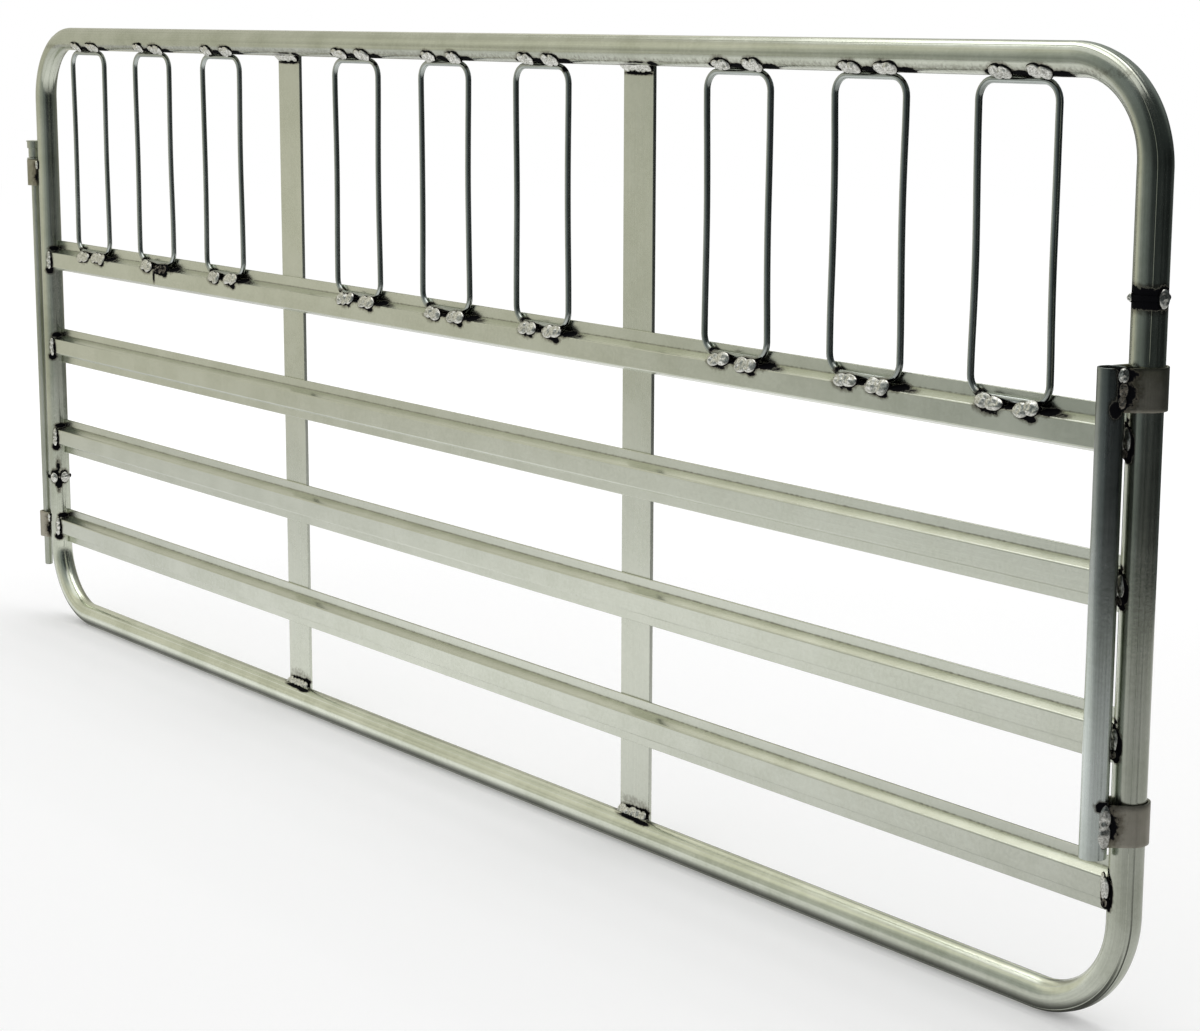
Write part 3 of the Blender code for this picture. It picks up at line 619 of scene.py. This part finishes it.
def make_metal(slot, colour, roughness, lines=0.10, clouds=0.12, bump=0.05, painted_reflection_by_height=None):
    """A drawn or extruded aluminium with die lines, oxide clouds, soot and painted shade.

    painted_reflection_by_height, if given, is a list of (height on the gate, share of the colour) pairs: a
    painted reflection that darkens the colour higher up.
    """
    materials[slot], tree, out = new_material(slot)
    place = add_node(tree, "ShaderNodeTexCoord").outputs["Object"]
    score, = placed_group(tree, drawn_lines, stored(tree, "grain_place", "Vector"))
    cloud, speck = placed_group(tree, mottle, place)
    mask, scorch = placed_group(tree, ragged_soot_and_shade, place, stored(tree, "soot_and_shade_reach"))

    look = blend_colour(tree, cloud, shade(colour, 1 - clouds, 1 - clouds * 0.9, 1 - clouds * 1.3),
                        shade(colour, *[1 + clouds] * 3))
    amount = sums(tree, "MULTIPLY", score, lines * SCORE_SHARE)
    look = blend_colour(tree, amount, look, shade(colour, *[SCORE_SHADE] * 3))
    amount = sums(tree, "MULTIPLY", speck, SPECK_SHARE)
    look = blend_colour(tree, amount, look, shade(colour, *[SPECK_SHADE] * 3))
    # Painted reflection: the colour is darker higher up, standing in for the dark surroundings mirrored
    # there
    if painted_reflection_by_height:
        height = add_node(tree, "ShaderNodeSeparateXYZ", {0: place}).outputs[2]
        look = blend_colour(tree, 1.0, look, profile(tree, height, 0.0, GATE_TOP, painted_reflection_by_height), "MULTIPLY")
    look = blend_colour(tree, sums(tree, "MULTIPLY", scorch, SCORCH_SHARE), look, SCORCH_BROWN)
    rough = sums(tree, "ADD", roughness, sums(tree, "MULTIPLY", score, lines))
    rough = sums(tree, "ADD", rough, sums(tree, "MULTIPLY", cloud, CLOUD_ROUGHNESS))
    height = sums(tree, "ADD", score, sums(tree, "MULTIPLY", speck, SPECK_HEIGHT))
    put_on_soot_and_shade(tree, out, look, rough, mask, height, bump)


# The frame tube carries a painted reflection: lighter near the floor, darker from 0.2 m up
make_metal("frame_tube_aluminium", (0.76, 0.79, 0.68), 0.15, lines=0.08,
           painted_reflection_by_height=((0.0, 0.92), (0.06, 0.92), (0.20, 0.73), (0.40, 0.68), (GATE_TOP, 0.68)))
make_metal("rail_aluminium", (0.61, 0.63, 0.55), 0.20, lines=0.02, clouds=0.06, bump=0.010)
make_metal("stay_aluminium", (0.61, 0.63, 0.55), 0.24, lines=0.035, clouds=0.06, bump=0.02)
make_metal("loop_rod_aluminium", (0.42, 0.45, 0.43), 0.15, lines=0.06)
# The sleeve carries a painted reflection: its colour darkens from 0.4 m upwards
make_metal("sleeve_aluminium", (0.64, 0.69, 0.66), 0.17, lines=0.08,
           painted_reflection_by_height=((0.0, 1.0), (0.40, 1.0), (0.50, 0.80), (0.60, 0.60), (0.80, 0.42), (GATE_TOP, 0.42)))
make_metal("strap_aluminium", (0.36, 0.34, 0.29), 0.34, lines=0.06, clouds=0.35, bump=0.12)
make_metal("hinge_rod_aluminium", (0.46, 0.48, 0.42), 0.30, lines=0.08)
print("metals:", sorted(materials))

# %% [markdown]
# Weld metal is cast, not drawn, and brighter than the tube because it is new metal. At the foot
# of a bead lies a thin black line, where the heat drew soot into the corner. The height stored
# on the bead tells the material where the foot is, and smoky beads store less of it.

# %% The weld metal
GRIT_SCALE = 420.0
WELD_DULL = (0.48, 0.48, 0.43, 1)
WELD_BRIGHT = (0.84, 0.84, 0.79, 1)
WELD_BROWN = (0.16, 0.13, 0.09, 1)
WELD_ROUGHNESS = 0.32
materials["weld_aluminium"], tree, out = new_material("weld_aluminium")
place = add_node(tree, "ShaderNodeTexCoord").outputs["Object"]
foot = ramp(tree, stored(tree, "ripple_height"), 0.05, 0.38, 0.80, 0.0)
covered = sums(tree, "MAXIMUM", foot, ramp(tree, stored(tree, "soot_and_shade_reach"), 1.0, SOOT_AND_SHADE_FADE))
mask, scorch = placed_group(tree, ragged_soot_and_shade, place, covered)
grit = noise_value(tree, place, GRIT_SCALE, 3.0, 0.6)
look = blend_colour(tree, ramp(tree, grit, 0.40, 0.60), WELD_DULL, WELD_BRIGHT)
look = blend_colour(tree, sums(tree, "MULTIPLY", scorch, 0.8), look, WELD_BROWN)
put_on_soot_and_shade(tree, out, look, WELD_ROUGHNESS, mask, grit, 0.35)
print("weld metal stands on", len(tree.nodes), "nodes")

# %% [markdown]
# The frame tubes were drawn straight, with a slightly raised band on two opposite sides, and
# bent on a former. A ring of points is the section, and it is pulled along the centre line from
# station to station. Stations lie close together where a weld or a bend needs them.

# %% Helper that pulls a ring along a path
def place_frame(point, side, narrow):
    """Matrix that puts the section's X on the side direction and its Y on the gate's Y axis."""
    side = side.normalized()
    ahead = side.cross(Vector((0, 1, 0)))
    matrix = Matrix((side * narrow, Vector((0, 1, 0)), ahead)).transposed().to_4x4()
    matrix.translation = point
    return matrix


def pull_along(ring_points, stations, closed=False):
    """Pulls a ring of section points through the stations (point, side, narrow, distance)."""
    bm = bmesh.new()
    grain = bm.verts.layers.float_vector.new("grain_place")
    made = bmesh.ops.create_circle(bm, segments=len(ring_points), radius=0.01)["verts"]
    for vert, (a, b) in zip(made, ring_points):
        vert.co = (a, b, 0)
        vert[grain] = (a, b, stations[0][3])
    now = place_frame(*stations[0][:3])
    bmesh.ops.transform(bm, matrix=now, verts=made)
    edges = bm.edges[:]
    if not closed:
        bmesh.ops.contextual_create(bm, geom=edges)
    for point, side, narrow, distance in stations[1:]:
        geom = bmesh.ops.extrude_edge_only(bm, edges=edges)["geom"]
        verts = only(bmesh.types.BMVert, geom)
        edges = only(bmesh.types.BMEdge, geom)
        then = place_frame(point, side, narrow)
        bmesh.ops.transform(bm, matrix=then @ now.inverted(), verts=verts)
        for vert in verts:
            place = vert[grain]
            vert[grain] = (place[0], place[1], distance)
        now = then
    if closed:
        bmesh.ops.remove_doubles(bm, verts=bm.verts[:], dist=1e-5)
    else:
        bmesh.ops.contextual_create(bm, geom=edges)
    bmesh.ops.recalc_face_normals(bm, faces=bm.faces[:])
    return bm


# %% [markdown]
# Each frame tube's stations run up one upright, round a corner, along the gate, round the other
# corner and back to the seam. Two thin ridges from the die run along the whole tube.

# %% The two frame tubes
BAND_EDGE = 42.0
BEND_RISE = {"upper": 0.125, "lower": 0.139}
FLATTENING = 0.08
DIE_RIDGES = (336.0, 173.0)
RIDGE_HEIGHT = 0.0005
RIDGE_PROFILE = ((-6.0, 0.0), (-3.0, RIDGE_HEIGHT), (3.0, RIDGE_HEIGHT), (6.0, 0.0))
CLOSE_STEP = 0.004
half_ring = [-42 + 6 * k for k in range(15)] + [43.2] + [50 + 8 * k for k in range(11)] + [136.8]
turns = {(turn + angle) % 360: BAND_R if abs(angle) <= BAND_EDGE else TUBE_R
         for turn in (0, 180) for angle in half_ring}
for ridge in DIE_RIDGES:
    turns = {turn: radius for turn, radius in turns.items() if abs(turn - ridge) > 6.5}
    turns.update({ridge + turn: BAND_R + more for turn, more in RIDGE_PROFILE})
tube_ring = [(radius * math.cos(math.radians(turn)), radius * math.sin(math.radians(turn)))
             for turn, radius in sorted(turns.items())]


def near_dark_patch(point, axis):
    """True where a dark patch, other than a whole-length one, reaches a tube at this point."""
    return any(all(abs(point[k] - middle[k]) < reach[k] * SOOT_AND_SHADE_FADE + margin
                   for k, margin in ((axis, CLOSE_STEP), (2 - axis, BAND_R)))
               for middle, reach, _ in soot if reach[axis] < 1.0)


def add_straight(stations, end, axis):
    """Goes straight on to a point: a station every 60 mm, and every 4 mm near a dark patch."""
    start, side, _, far = stations[-1]
    length = (end - start).length
    steps = max(1, round(length / CLOSE_STEP))
    for k in range(1, steps + 1):
        point = start.lerp(end, k / steps)
        if near_dark_patch(point, axis) or k % 15 == 0 or k == steps:
            stations.append((point, side, 1.0, far + length * k / steps))


def add_bend(stations, centre, radius, start, end, steps=36):
    """Goes round a bend in the X-Z plane; the section narrows a little in its middle."""
    far = stations[-1][3]
    for k in range(1, steps + 1):
        turn = math.radians(start + (end - start) * k / steps)
        narrow = 1.0 - FLATTENING * min(1.0, 1.6 * math.sin(math.pi * k / steps))
        side = Vector((math.cos(turn), 0, math.sin(turn)))
        stations.append((centre + side * radius, side, narrow, far + radius * math.tau / 4 * k / steps))


def frame_tube(which):
    """Stations of the upper or the lower frame tube, from the right seam to the left one."""
    up, edge, gap = (1, TOP_AXIS_Z, CAD_GAP) if which == "upper" else (-1, BAND_R, 0.0)
    rise = BEND_RISE[which]
    inset, corner_z = AXIS_X - rise, edge - up * rise
    stations = [(Vector((AXIS_X, 0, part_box("frame_tube_lower")[1].z + gap)), Vector((1, 0, 0)), 1.0, 0.0)]
    add_straight(stations, Vector((AXIS_X, 0, corner_z)), 2)
    add_bend(stations, Vector((inset, 0, corner_z)), rise, 0, 90 * up)
    add_straight(stations, Vector((-inset, 0, edge)), 0)
    add_bend(stations, Vector((-inset, 0, corner_z)), rise, 90 * up, 180 * up)
    add_straight(stations, Vector((-AXIS_X, 0, tube_low.z - (CAD_GAP - gap))), 2)
    return stations


for which in ("upper", "lower"):
    stations = frame_tube(which)
    finish_piece("bent_tube_" + which, pull_along(tube_ring, stations), "frame_tube_aluminium", "frame",
                 "frame_tube_" + which, 25)
    print("   %s tube: %.2f m of tube through %d stations" % (which, stations[-1][3], len(stations)))

# %% [markdown]
# Rails and stays keep the exact shape of the CAD, with their ends coped round the tube. A copy
# of each is merged, its flat faces are joined, and its long edges get the small round that an
# extrusion die leaves. Planes then cut the copy where soot and painted shade lie, so that there
# are points to carry them.

# %% Rails and stays
LONG_RUN = 1.0
FRONT_ROUND = 0.0009
BACK_ROUND = 0.0006
STAY_ROUND = 0.0008
BACK_PLATE = 0.0025
LEDGE_CUTS = (-0.0032, -0.0012, 0.0014, 0.0034)


def merged_copy(node):
    """A bmesh of a CAD node with its loose triangles merged and its flat faces joined."""
    bm = bmesh.new()
    bm.from_mesh(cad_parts[node].data)
    for layer in list(bm.loops.layers.uv.values()):
        bm.loops.layers.uv.remove(layer)
    bmesh.ops.remove_doubles(bm, verts=bm.verts[:], dist=2e-6)
    bmesh.ops.dissolve_limit(bm, angle_limit=math.radians(0.6), verts=bm.verts[:], edges=bm.edges[:])
    return bm


def round_long_edges(bm, axis, size, front=-9.0, back=9.0):
    """Rounds the sharp edges that run far along one axis, between two depths."""
    chosen = []
    for edge in bm.edges:
        run = abs(edge.verts[0].co[axis] - edge.verts[1].co[axis])
        if (run > LONG_RUN and edge.is_manifold and front < edge.verts[0].co.y < back
                and edge.calc_face_angle() > math.radians(12)):
            chosen.append(edge)
    bmesh.ops.bevel(bm, geom=chosen, offset=size, offset_type="OFFSET", segments=2, profile=0.5,
                    affect="EDGES", clamp_overlap=True, material=-1)
    return len(chosen)


def cut_at(bm, axis, value):
    """Cuts a piece with one plane across an axis; the piece stays whole."""
    point, normal = [0, 0, 0], [0, 0, 0]
    point[axis], normal[axis] = value, 1
    bmesh.ops.bisect_plane(bm, geom=bm.verts[:] + bm.edges[:] + bm.faces[:], dist=1e-6,
                           plane_co=point, plane_no=normal)


def cut_for_dark_patches(bm, axis, others, step=0.005):
    """Cuts planes across the piece near the patches of soot and painted shade that touch it, along one axis.
    """
    box = [(min(v.co[k] for v in bm.verts), max(v.co[k] for v in bm.verts)) for k in range(3)]
    touching = [(middle[axis], reach[axis]) for middle, reach, _ in soot
                if all(box[o][0] - reach[o] * SOOT_AND_SHADE_FADE < middle[o] < box[o][1] + reach[o] * SOOT_AND_SHADE_FADE
                       for o in others)]
    low, high = box[axis]
    values = [low + k * step for k in range(1, int((high - low) / step))]
    values = [value for value in values
              if any(abs(value - at) <= reach * SOOT_AND_SHADE_FADE + step for at, reach in touching)]
    for value in values:
        cut_at(bm, axis, value)
    return len(values)


for number, (low, high) in rails.items():
    bm = merged_copy("rail_%d" % number)
    plate = low.y + BACK_PLATE
    count = round_long_edges(bm, 0, FRONT_ROUND, back=plate)
    count += round_long_edges(bm, 0, BACK_ROUND, front=plate)
    for shift in LEDGE_CUTS:
        cut_at(bm, 2, ledges[number] + shift)
    cuts = cut_for_dark_patches(bm, 2, (0, 1)) + cut_for_dark_patches(bm, 0, (1, 2))
    finish_piece("boxed_rail_%d" % number, bm, "rail_aluminium", "frame", "rail_%d" % number,
                 grain=LENGTHWISE_GRAIN)
    print("   %d long edges rounded, %d cuts" % (count, cuts))
for side in ("left", "right"):
    bm = merged_copy("stay_" + side)
    count = round_long_edges(bm, 2, STAY_ROUND)
    cuts = cut_for_dark_patches(bm, 0, (1, 2)) + cut_for_dark_patches(bm, 2, (0, 1))
    finish_piece("flat_stay_" + side, bm, "stay_aluminium", "frame", "stay_" + side)
    print("   %d long edges rounded, %d cuts" % (count, cuts))

# %% [markdown]
# The neck loops are thin rod, bent on four pins and closed by a weld. The same ring-pulling
# helper makes them, with a round ring of sixteen points. They were bent by hand, so each has a
# slight waist and its own small waver.

# %% Nine neck loops
LOOP_CORNER_R = 0.026
LOOP_STEP = 0.012
WAIST = 0.0022
WAVER = 0.0016
loop_ring = [(ROD_R * math.cos(math.tau * k / 16), ROD_R * math.sin(math.tau * k / 16)) for k in range(16)]


def loop_stations(x, y, low, high, half):
    """Stations once round a loop with four round corners, back to the first one."""
    r = LOOP_CORNER_R
    corners = ((x + half - r, high - r, 0), (x - half + r, high - r, 90),
               (x - half + r, low + r, 180), (x + half - r, low + r, 270))
    route = []
    for cx, cz, start in corners:
        for k in range(9):
            a = math.radians(start + 90 * k / 8)
            side = Vector((math.cos(a), 0, math.sin(a)))
            route.append((Vector((cx, y, cz)) + side * r, side))
    stations = [(*route[0], 1.0, 0.0)]
    for point, side in route[1:] + route[:1]:
        last, _, _, far = stations[-1]
        gap = (point - last).length
        pieces = max(1, int(gap / LOOP_STEP))
        stations += [(last.lerp(point, m / pieces), side, 1.0, far + gap * m / pieces)
                     for m in range(1, pieces + 1)]
    return stations


def bent_by_hand(number, x, low, high, point):
    """Moves a point of a loop sideways by the waist and the waver, which fade out at both ends."""
    t = max(0.0, min(1.0, (point.z - low) / (high - low)))
    leg = point.x - x
    waist = -math.copysign(WAIST, leg) * math.sin(math.pi * t) ** 2
    waver = WAVER * noise.noise(Vector((number * 3.7, math.copysign(2.0, leg), t * 2.2)))
    return point + Vector((waist + waver, 0, 0)) * min(1.0, 6 * t * (1 - t))


for number, (x, y, low, high) in loops.items():
    box_low, box_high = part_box("neck_loop_%d" % number)
    half = (box_high.x - box_low.x) / 2 - ROD_R
    stations = [(bent_by_hand(number, x, low, high, point), side, narrow, far)
                for point, side, narrow, far in loop_stations(x, y, low, high, half)]
    finish_piece("rod_loop_%d" % number, pull_along(loop_ring, stations, closed=True), "loop_rod_aluminium",
                 "frame", "neck_loop_%d" % number, 50)

# %% [markdown]
# The sleeve is a cut length of pipe. Its wall is drawn as a small outline with softened corners
# and spun once round its own axis. The lift rod and its seat ring are made in the same way.

# %% Helper that spins an outline, and the sleeve
def close_up(bm):
    """Merges the points that fall together, and turns all faces outwards."""
    bmesh.ops.remove_doubles(bm, verts=bm.verts[:], dist=1e-6)
    bmesh.ops.recalc_face_normals(bm, faces=bm.faces[:])


def spin_outline(outline, centre, closed, segments=64):
    """Spins (radius, height) points round an upright axis; a closed outline gives a ring."""
    bm = bmesh.new()
    verts = [bm.verts.new(centre + Vector((radius, 0, height))) for radius, height in outline]
    ends = list(zip(verts, verts[1:])) + ([(verts[-1], verts[0])] if closed else [])
    edges = [bm.edges.new(pair) for pair in ends]
    bmesh.ops.spin(bm, geom=verts + edges, cent=centre, axis=(0, 0, 1), angle=math.tau, steps=segments,
                   use_merge=True)
    close_up(bm)
    return bm


def rounded(outline, size, steps=3):
    """Softens each corner of an outline with a short arc of points."""
    result = []
    for k, corner in enumerate(outline):
        here = Vector(corner)
        to_before = Vector(outline[k - 1]) - here
        to_after = Vector(outline[(k + 1) % len(outline)]) - here
        cut = min(size, to_before.length * 0.45, to_after.length * 0.45)
        a = here + to_before.normalized() * cut
        b = here + to_after.normalized() * cut
        for m in range(steps + 1):
            t = m / steps
            point = a * (1 - t) ** 2 + here * 2 * t * (1 - t) + b * t ** 2
            result.append((point.x, point.y))
    return result


BORE_R = 0.0143
SLEEVE_ROUND = 0.0009
SLEEVE_STEP = 0.006


def tube_wall(outer, inner, low, high):
    """The outline of a pipe's wall."""
    return [(outer, low), (outer, high), (inner, high), (inner, low)]


wall = rounded(tube_wall(SLEEVE_R, BORE_R, sleeve_low.z, sleeve_high.z), SLEEVE_ROUND)
bm = spin_outline(wall, sleeve_axis, True)
for k in range(1, int((sleeve_high.z - sleeve_low.z) / SLEEVE_STEP + 0.5)):
    cut_at(bm, 2, sleeve_low.z + SLEEVE_STEP * k)
finish_piece("pipe_sleeve", bm, "sleeve_aluminium", "sleeve", "sleeve_pipe", 30)

# %% [markdown]
# Collars and strap loops are flat strap, bent hot round a bar. A small upright rectangle of
# strap is spun round the bend, its two ends are pulled straight to the other pipe, and the long
# edges are rounded. The bends sit where the CAD has them.

# %% Helper that bends a strap, with the collars and the strap loops
STRAP_ROUND = 0.0006
STRAP_STEP = 0.0045
COLLAR_THICK = 0.0035
COLLAR_PLAY = 0.0012
COLLAR_LEG_OFFSET = 0.013
STRAP_THICK = 0.0045
STRAP_PLAY = 0.003
STRAP_LEG_OFFSET = 0.017
LIFT_ROD_R = 0.008


def bent_strap(node, centre, other, inner_r, leg_offset, thick, other_r, steps):
    """A strap as tall as its node, bent round one axis, with its legs running to another pipe."""
    low_z, high_z = (corner.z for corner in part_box(node))
    distance = (other - centre).length
    mid_r = inner_r + thick / 2
    slant = math.asin((mid_r - leg_offset) / distance)
    reach = math.sqrt(distance ** 2 - (mid_r - leg_offset) ** 2)
    leg = reach - math.sqrt(other_r ** 2 - (leg_offset - thick / 2) ** 2)
    start = math.pi / 2 - slant
    u = (other - centre).normalized()
    v = Vector((-u.y, u.x, 0))
    bm = bmesh.new()
    corners = []
    for radius, height in tube_wall(mid_r + thick / 2, mid_r - thick / 2, low_z, high_z):
        spot = centre + u * (radius * math.cos(start)) + v * (radius * math.sin(start))
        corners.append(bm.verts.new((spot.x, spot.y, height)))
    first_middle = bm.faces.new(corners).calc_center_median()
    spun = bmesh.ops.spin(bm, geom=bm.faces[:], cent=centre, axis=(0, 0, 1), angle=math.tau - 2 * start,
                          steps=steps)
    last = only(bmesh.types.BMFace, spun["geom_last"])[0]
    first = min(bm.faces, key=lambda face: (face.calc_center_median() - first_middle).length)
    for face, sign in ((first, -1), (last, 1)):
        pulled = bmesh.ops.extrude_face_region(bm, geom=[face])["geom"]
        along = u * math.cos(slant) + v * math.sin(slant) * sign
        bmesh.ops.translate(bm, vec=along * leg, verts=only(bmesh.types.BMVert, pulled))
        bmesh.ops.delete(bm, geom=[face], context="FACES_ONLY")
    close_up(bm)
    sharp = [e for e in bm.edges if e.is_manifold and e.calc_face_angle() > math.radians(50)]
    bmesh.ops.bevel(bm, geom=sharp, offset=STRAP_ROUND, offset_type="OFFSET", segments=2, profile=0.5,
                    affect="EDGES", clamp_overlap=True, material=-1)
    for k in range(1, int((high_z - low_z) / STRAP_STEP)):
        cut_at(bm, 2, low_z + STRAP_STEP * k)
    return bm


for place in ("upper", "lower"):
    node = "collar_" + place
    bm = bent_strap(node, right_upright, sleeve_axis, BAND_R + COLLAR_PLAY, COLLAR_LEG_OFFSET,
                    COLLAR_THICK, SLEEVE_R + CAD_GAP, 48)
    finish_piece("strap_collar_" + place, bm, "strap_aluminium", "sleeve", node, 30)
    node = "strap_loop_" + place
    bm = bent_strap(node, rod_axis, -right_upright, LIFT_ROD_R + STRAP_PLAY, STRAP_LEG_OFFSET,
                    STRAP_THICK, BAND_R + CAD_GAP, 40)
    finish_piece("strap_eye_" + place, bm, "strap_aluminium", "frame", node, 30)

# %% [markdown]
# The lift rod has a stepped head: a flat button, a thicker collar below it and a shoulder down
# to the rod. Its foot is bevelled so that it finds the holes.

# %% The lift rod and its seat ring
HEAD_R, HEAD_ROUND, HEAD_THICK = 0.0156, 0.0003, 0.0022
COLLAR_R, COLLAR_DEEP = 0.0142, 0.0135
SHOULDER_R = 0.0118
FOOT_R, FOOT_BEVEL = 0.0065, 0.0015
RING_ROUND = 0.0006
ring_low, ring_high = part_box("rod_seat_ring")
top = rod_high.z
neck = top - HEAD_THICK - COLLAR_DEEP
rod_shape = [(0.0, top), (HEAD_R - HEAD_ROUND, top), (HEAD_R, top - HEAD_ROUND), (HEAD_R, top - HEAD_THICK),
             (COLLAR_R, top - HEAD_THICK - 0.0004), (COLLAR_R, neck + 0.0006), (SHOULDER_R, neck - 0.0006),
             (SHOULDER_R, ring_high.z + 0.0012), (LIFT_ROD_R, ring_high.z + CAD_GAP),
             (LIFT_ROD_R, rod_low.z + FOOT_BEVEL), (FOOT_R, rod_low.z), (0.0, rod_low.z)]
bm = spin_outline(rod_shape, rod_axis, False, 48)
finish_piece("lift_rod", bm, "hinge_rod_aluminium", "rod", "hinge_rod", 30)
seat_r = (ring_high.x - ring_low.x) / 2
wall = rounded(tube_wall(seat_r, LIFT_ROD_R + CAD_GAP, ring_low.z, ring_high.z), RING_ROUND)
bm = spin_outline(wall, rod_axis, True, 48)
finish_piece("seat_ring", bm, "hinge_rod_aluminium", "rod", "rod_seat_ring", 30)

# %% [markdown]
# A weld bead is a row of puddles that froze one on the next. Each puddle is a sphere pressed to
# a low dome on the side that the bead faces, with crescents across it and lumps of noise. The
# distance from the rim is kept for the material, which draws the black line there.

# %% Laying the weld beads
PUDDLE_OVERLAP = 0.60
RIM_WIDTH = 0.32
RIPPLES = 11.0
UNEVEN = 0.40
SWAY = 0.20


def lay_puddle(bm, rise, middle, along, across, out, sizes, drift, fresh):
    """Adds one low dome; sizes are its half length, half width and height."""
    for vert in bmesh.ops.create_uvsphere(bm, u_segments=24, v_segments=18, radius=1.0)["verts"]:
        a, b, c = vert.co
        radial = math.sqrt(a * a + b * b)
        lump = noise.noise(Vector((a, b, c)) * 1.7 + drift)
        ragged = 1.0 + 0.16 * noise.noise(Vector((a, b, 0)) * 1.1 - drift)
        crescent = 0.5 + 0.5 * math.cos(RIPPLES * math.sqrt((a + 1.0) ** 2 + b * b))
        lifted = c ** 0.75 * (0.78 + 0.15 * crescent + UNEVEN * lump) if c > 0 else c * 0.15
        vert.co = (middle + along * (a * sizes[0] * ragged) + across * (b * sizes[1] * ragged)
                   + out * (lifted * sizes[2]))
        vert[rise] = fresh * max(0.0, min(1.0, (1.0 - radial) / RIM_WIDTH)) if c > 0 else 0.0


def lay_bead(bm, rise, start, end, out, width, height, puddles, fresh, seed):
    """Adds one bead to a bmesh as a row of overlapping puddles."""
    along = (end - start).normalized()
    length = (end - start).length
    across = out.cross(along).normalized()
    half = length / 2 / (1 + (puddles - 1) * PUDDLE_OVERLAP)
    for k in range(puddles):
        drift = Vector((seed * 7.31, seed * 3.17 + k * 5.7, seed * 1.93))
        sway = noise.noise(drift) * SWAY * width if puddles > 1 else 0.0
        middle = start + along * (half + k * 2 * half * PUDDLE_OVERLAP) + across * sway
        grown = 1.0 + 0.20 * noise.noise(drift * 1.3)
        lay_puddle(bm, rise, middle, along, across, out,
                   (half * 1.04, width / 2 * grown, height * (1.0 + 0.12 * (k % 2))), drift, fresh)


groups = {}
for row in beads:
    groups.setdefault(row[0], []).append(row[1:])
for group, rows in groups.items():
    bm = bmesh.new()
    rise = bm.verts.layers.float.new("ripple_height")
    for row in rows:
        lay_bead(bm, rise, *row)
    bmesh.ops.recalc_face_normals(bm, faces=bm.faces[:])
    body = "sleeve" if group.startswith("collar") else "frame"
    finish_piece(group, bm, "weld_aluminium", body, smooth=60)

# %% [markdown]
# The two frame tubes meet end to end on each upright, and a ring of weld closes the joint. It is
# spun from a crowned outline and then given ripples and lumps like those of the other beads.

# %% Seam rings
RING_CROWN = 0.0018
RING_HALF = 0.0036
RING_RIPPLE = 0.0006
RING_LUMP = 0.0022
RING_WANDER = 0.0010
RING_CLEAN = {"right": 0.35, "left": 0.70}
for side in ("right", "left"):
    low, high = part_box("seam_weld_" + side)
    x, z = (low.x + high.x) / 2, (low.z + high.z) / 2
    inner = BAND_R + CAD_GAP
    outline = [(inner + RING_CROWN * math.sin(math.pi * k / 8), z - RING_HALF * math.cos(math.pi * k / 8))
               for k in range(9)]
    bm = spin_outline(outline, Vector((x, 0, 0)), True, 96)
    rise = bm.verts.layers.float.new("ripple_height")
    for vert in bm.verts:
        away = Vector((vert.co.x - x, vert.co.y, 0))
        over = max(0.0, away.length - inner) / RING_CROWN
        angle = math.atan2(away.y, away.x)
        wave = 0.5 + 0.5 * math.cos(26 * angle + 900 * (vert.co.z - z))
        lump = max(0.0, noise.noise(Vector((angle * 2.2, x, (vert.co.z - z) * 90))))
        vert.co += away.normalized() * over * (RING_RIPPLE * wave + RING_LUMP * lump)
        vert.co.z += over * RING_WANDER * noise.noise(Vector((angle * 3.0, 4.0, x)))
        vert[rise] = min(1.0, over * (0.10 + 0.16 * wave + 0.5 * lump)) * RING_CLEAN[side]
    finish_piece("seam_bead_" + side, bm, "weld_aluminium", "frame", "seam_weld_" + side, 60)
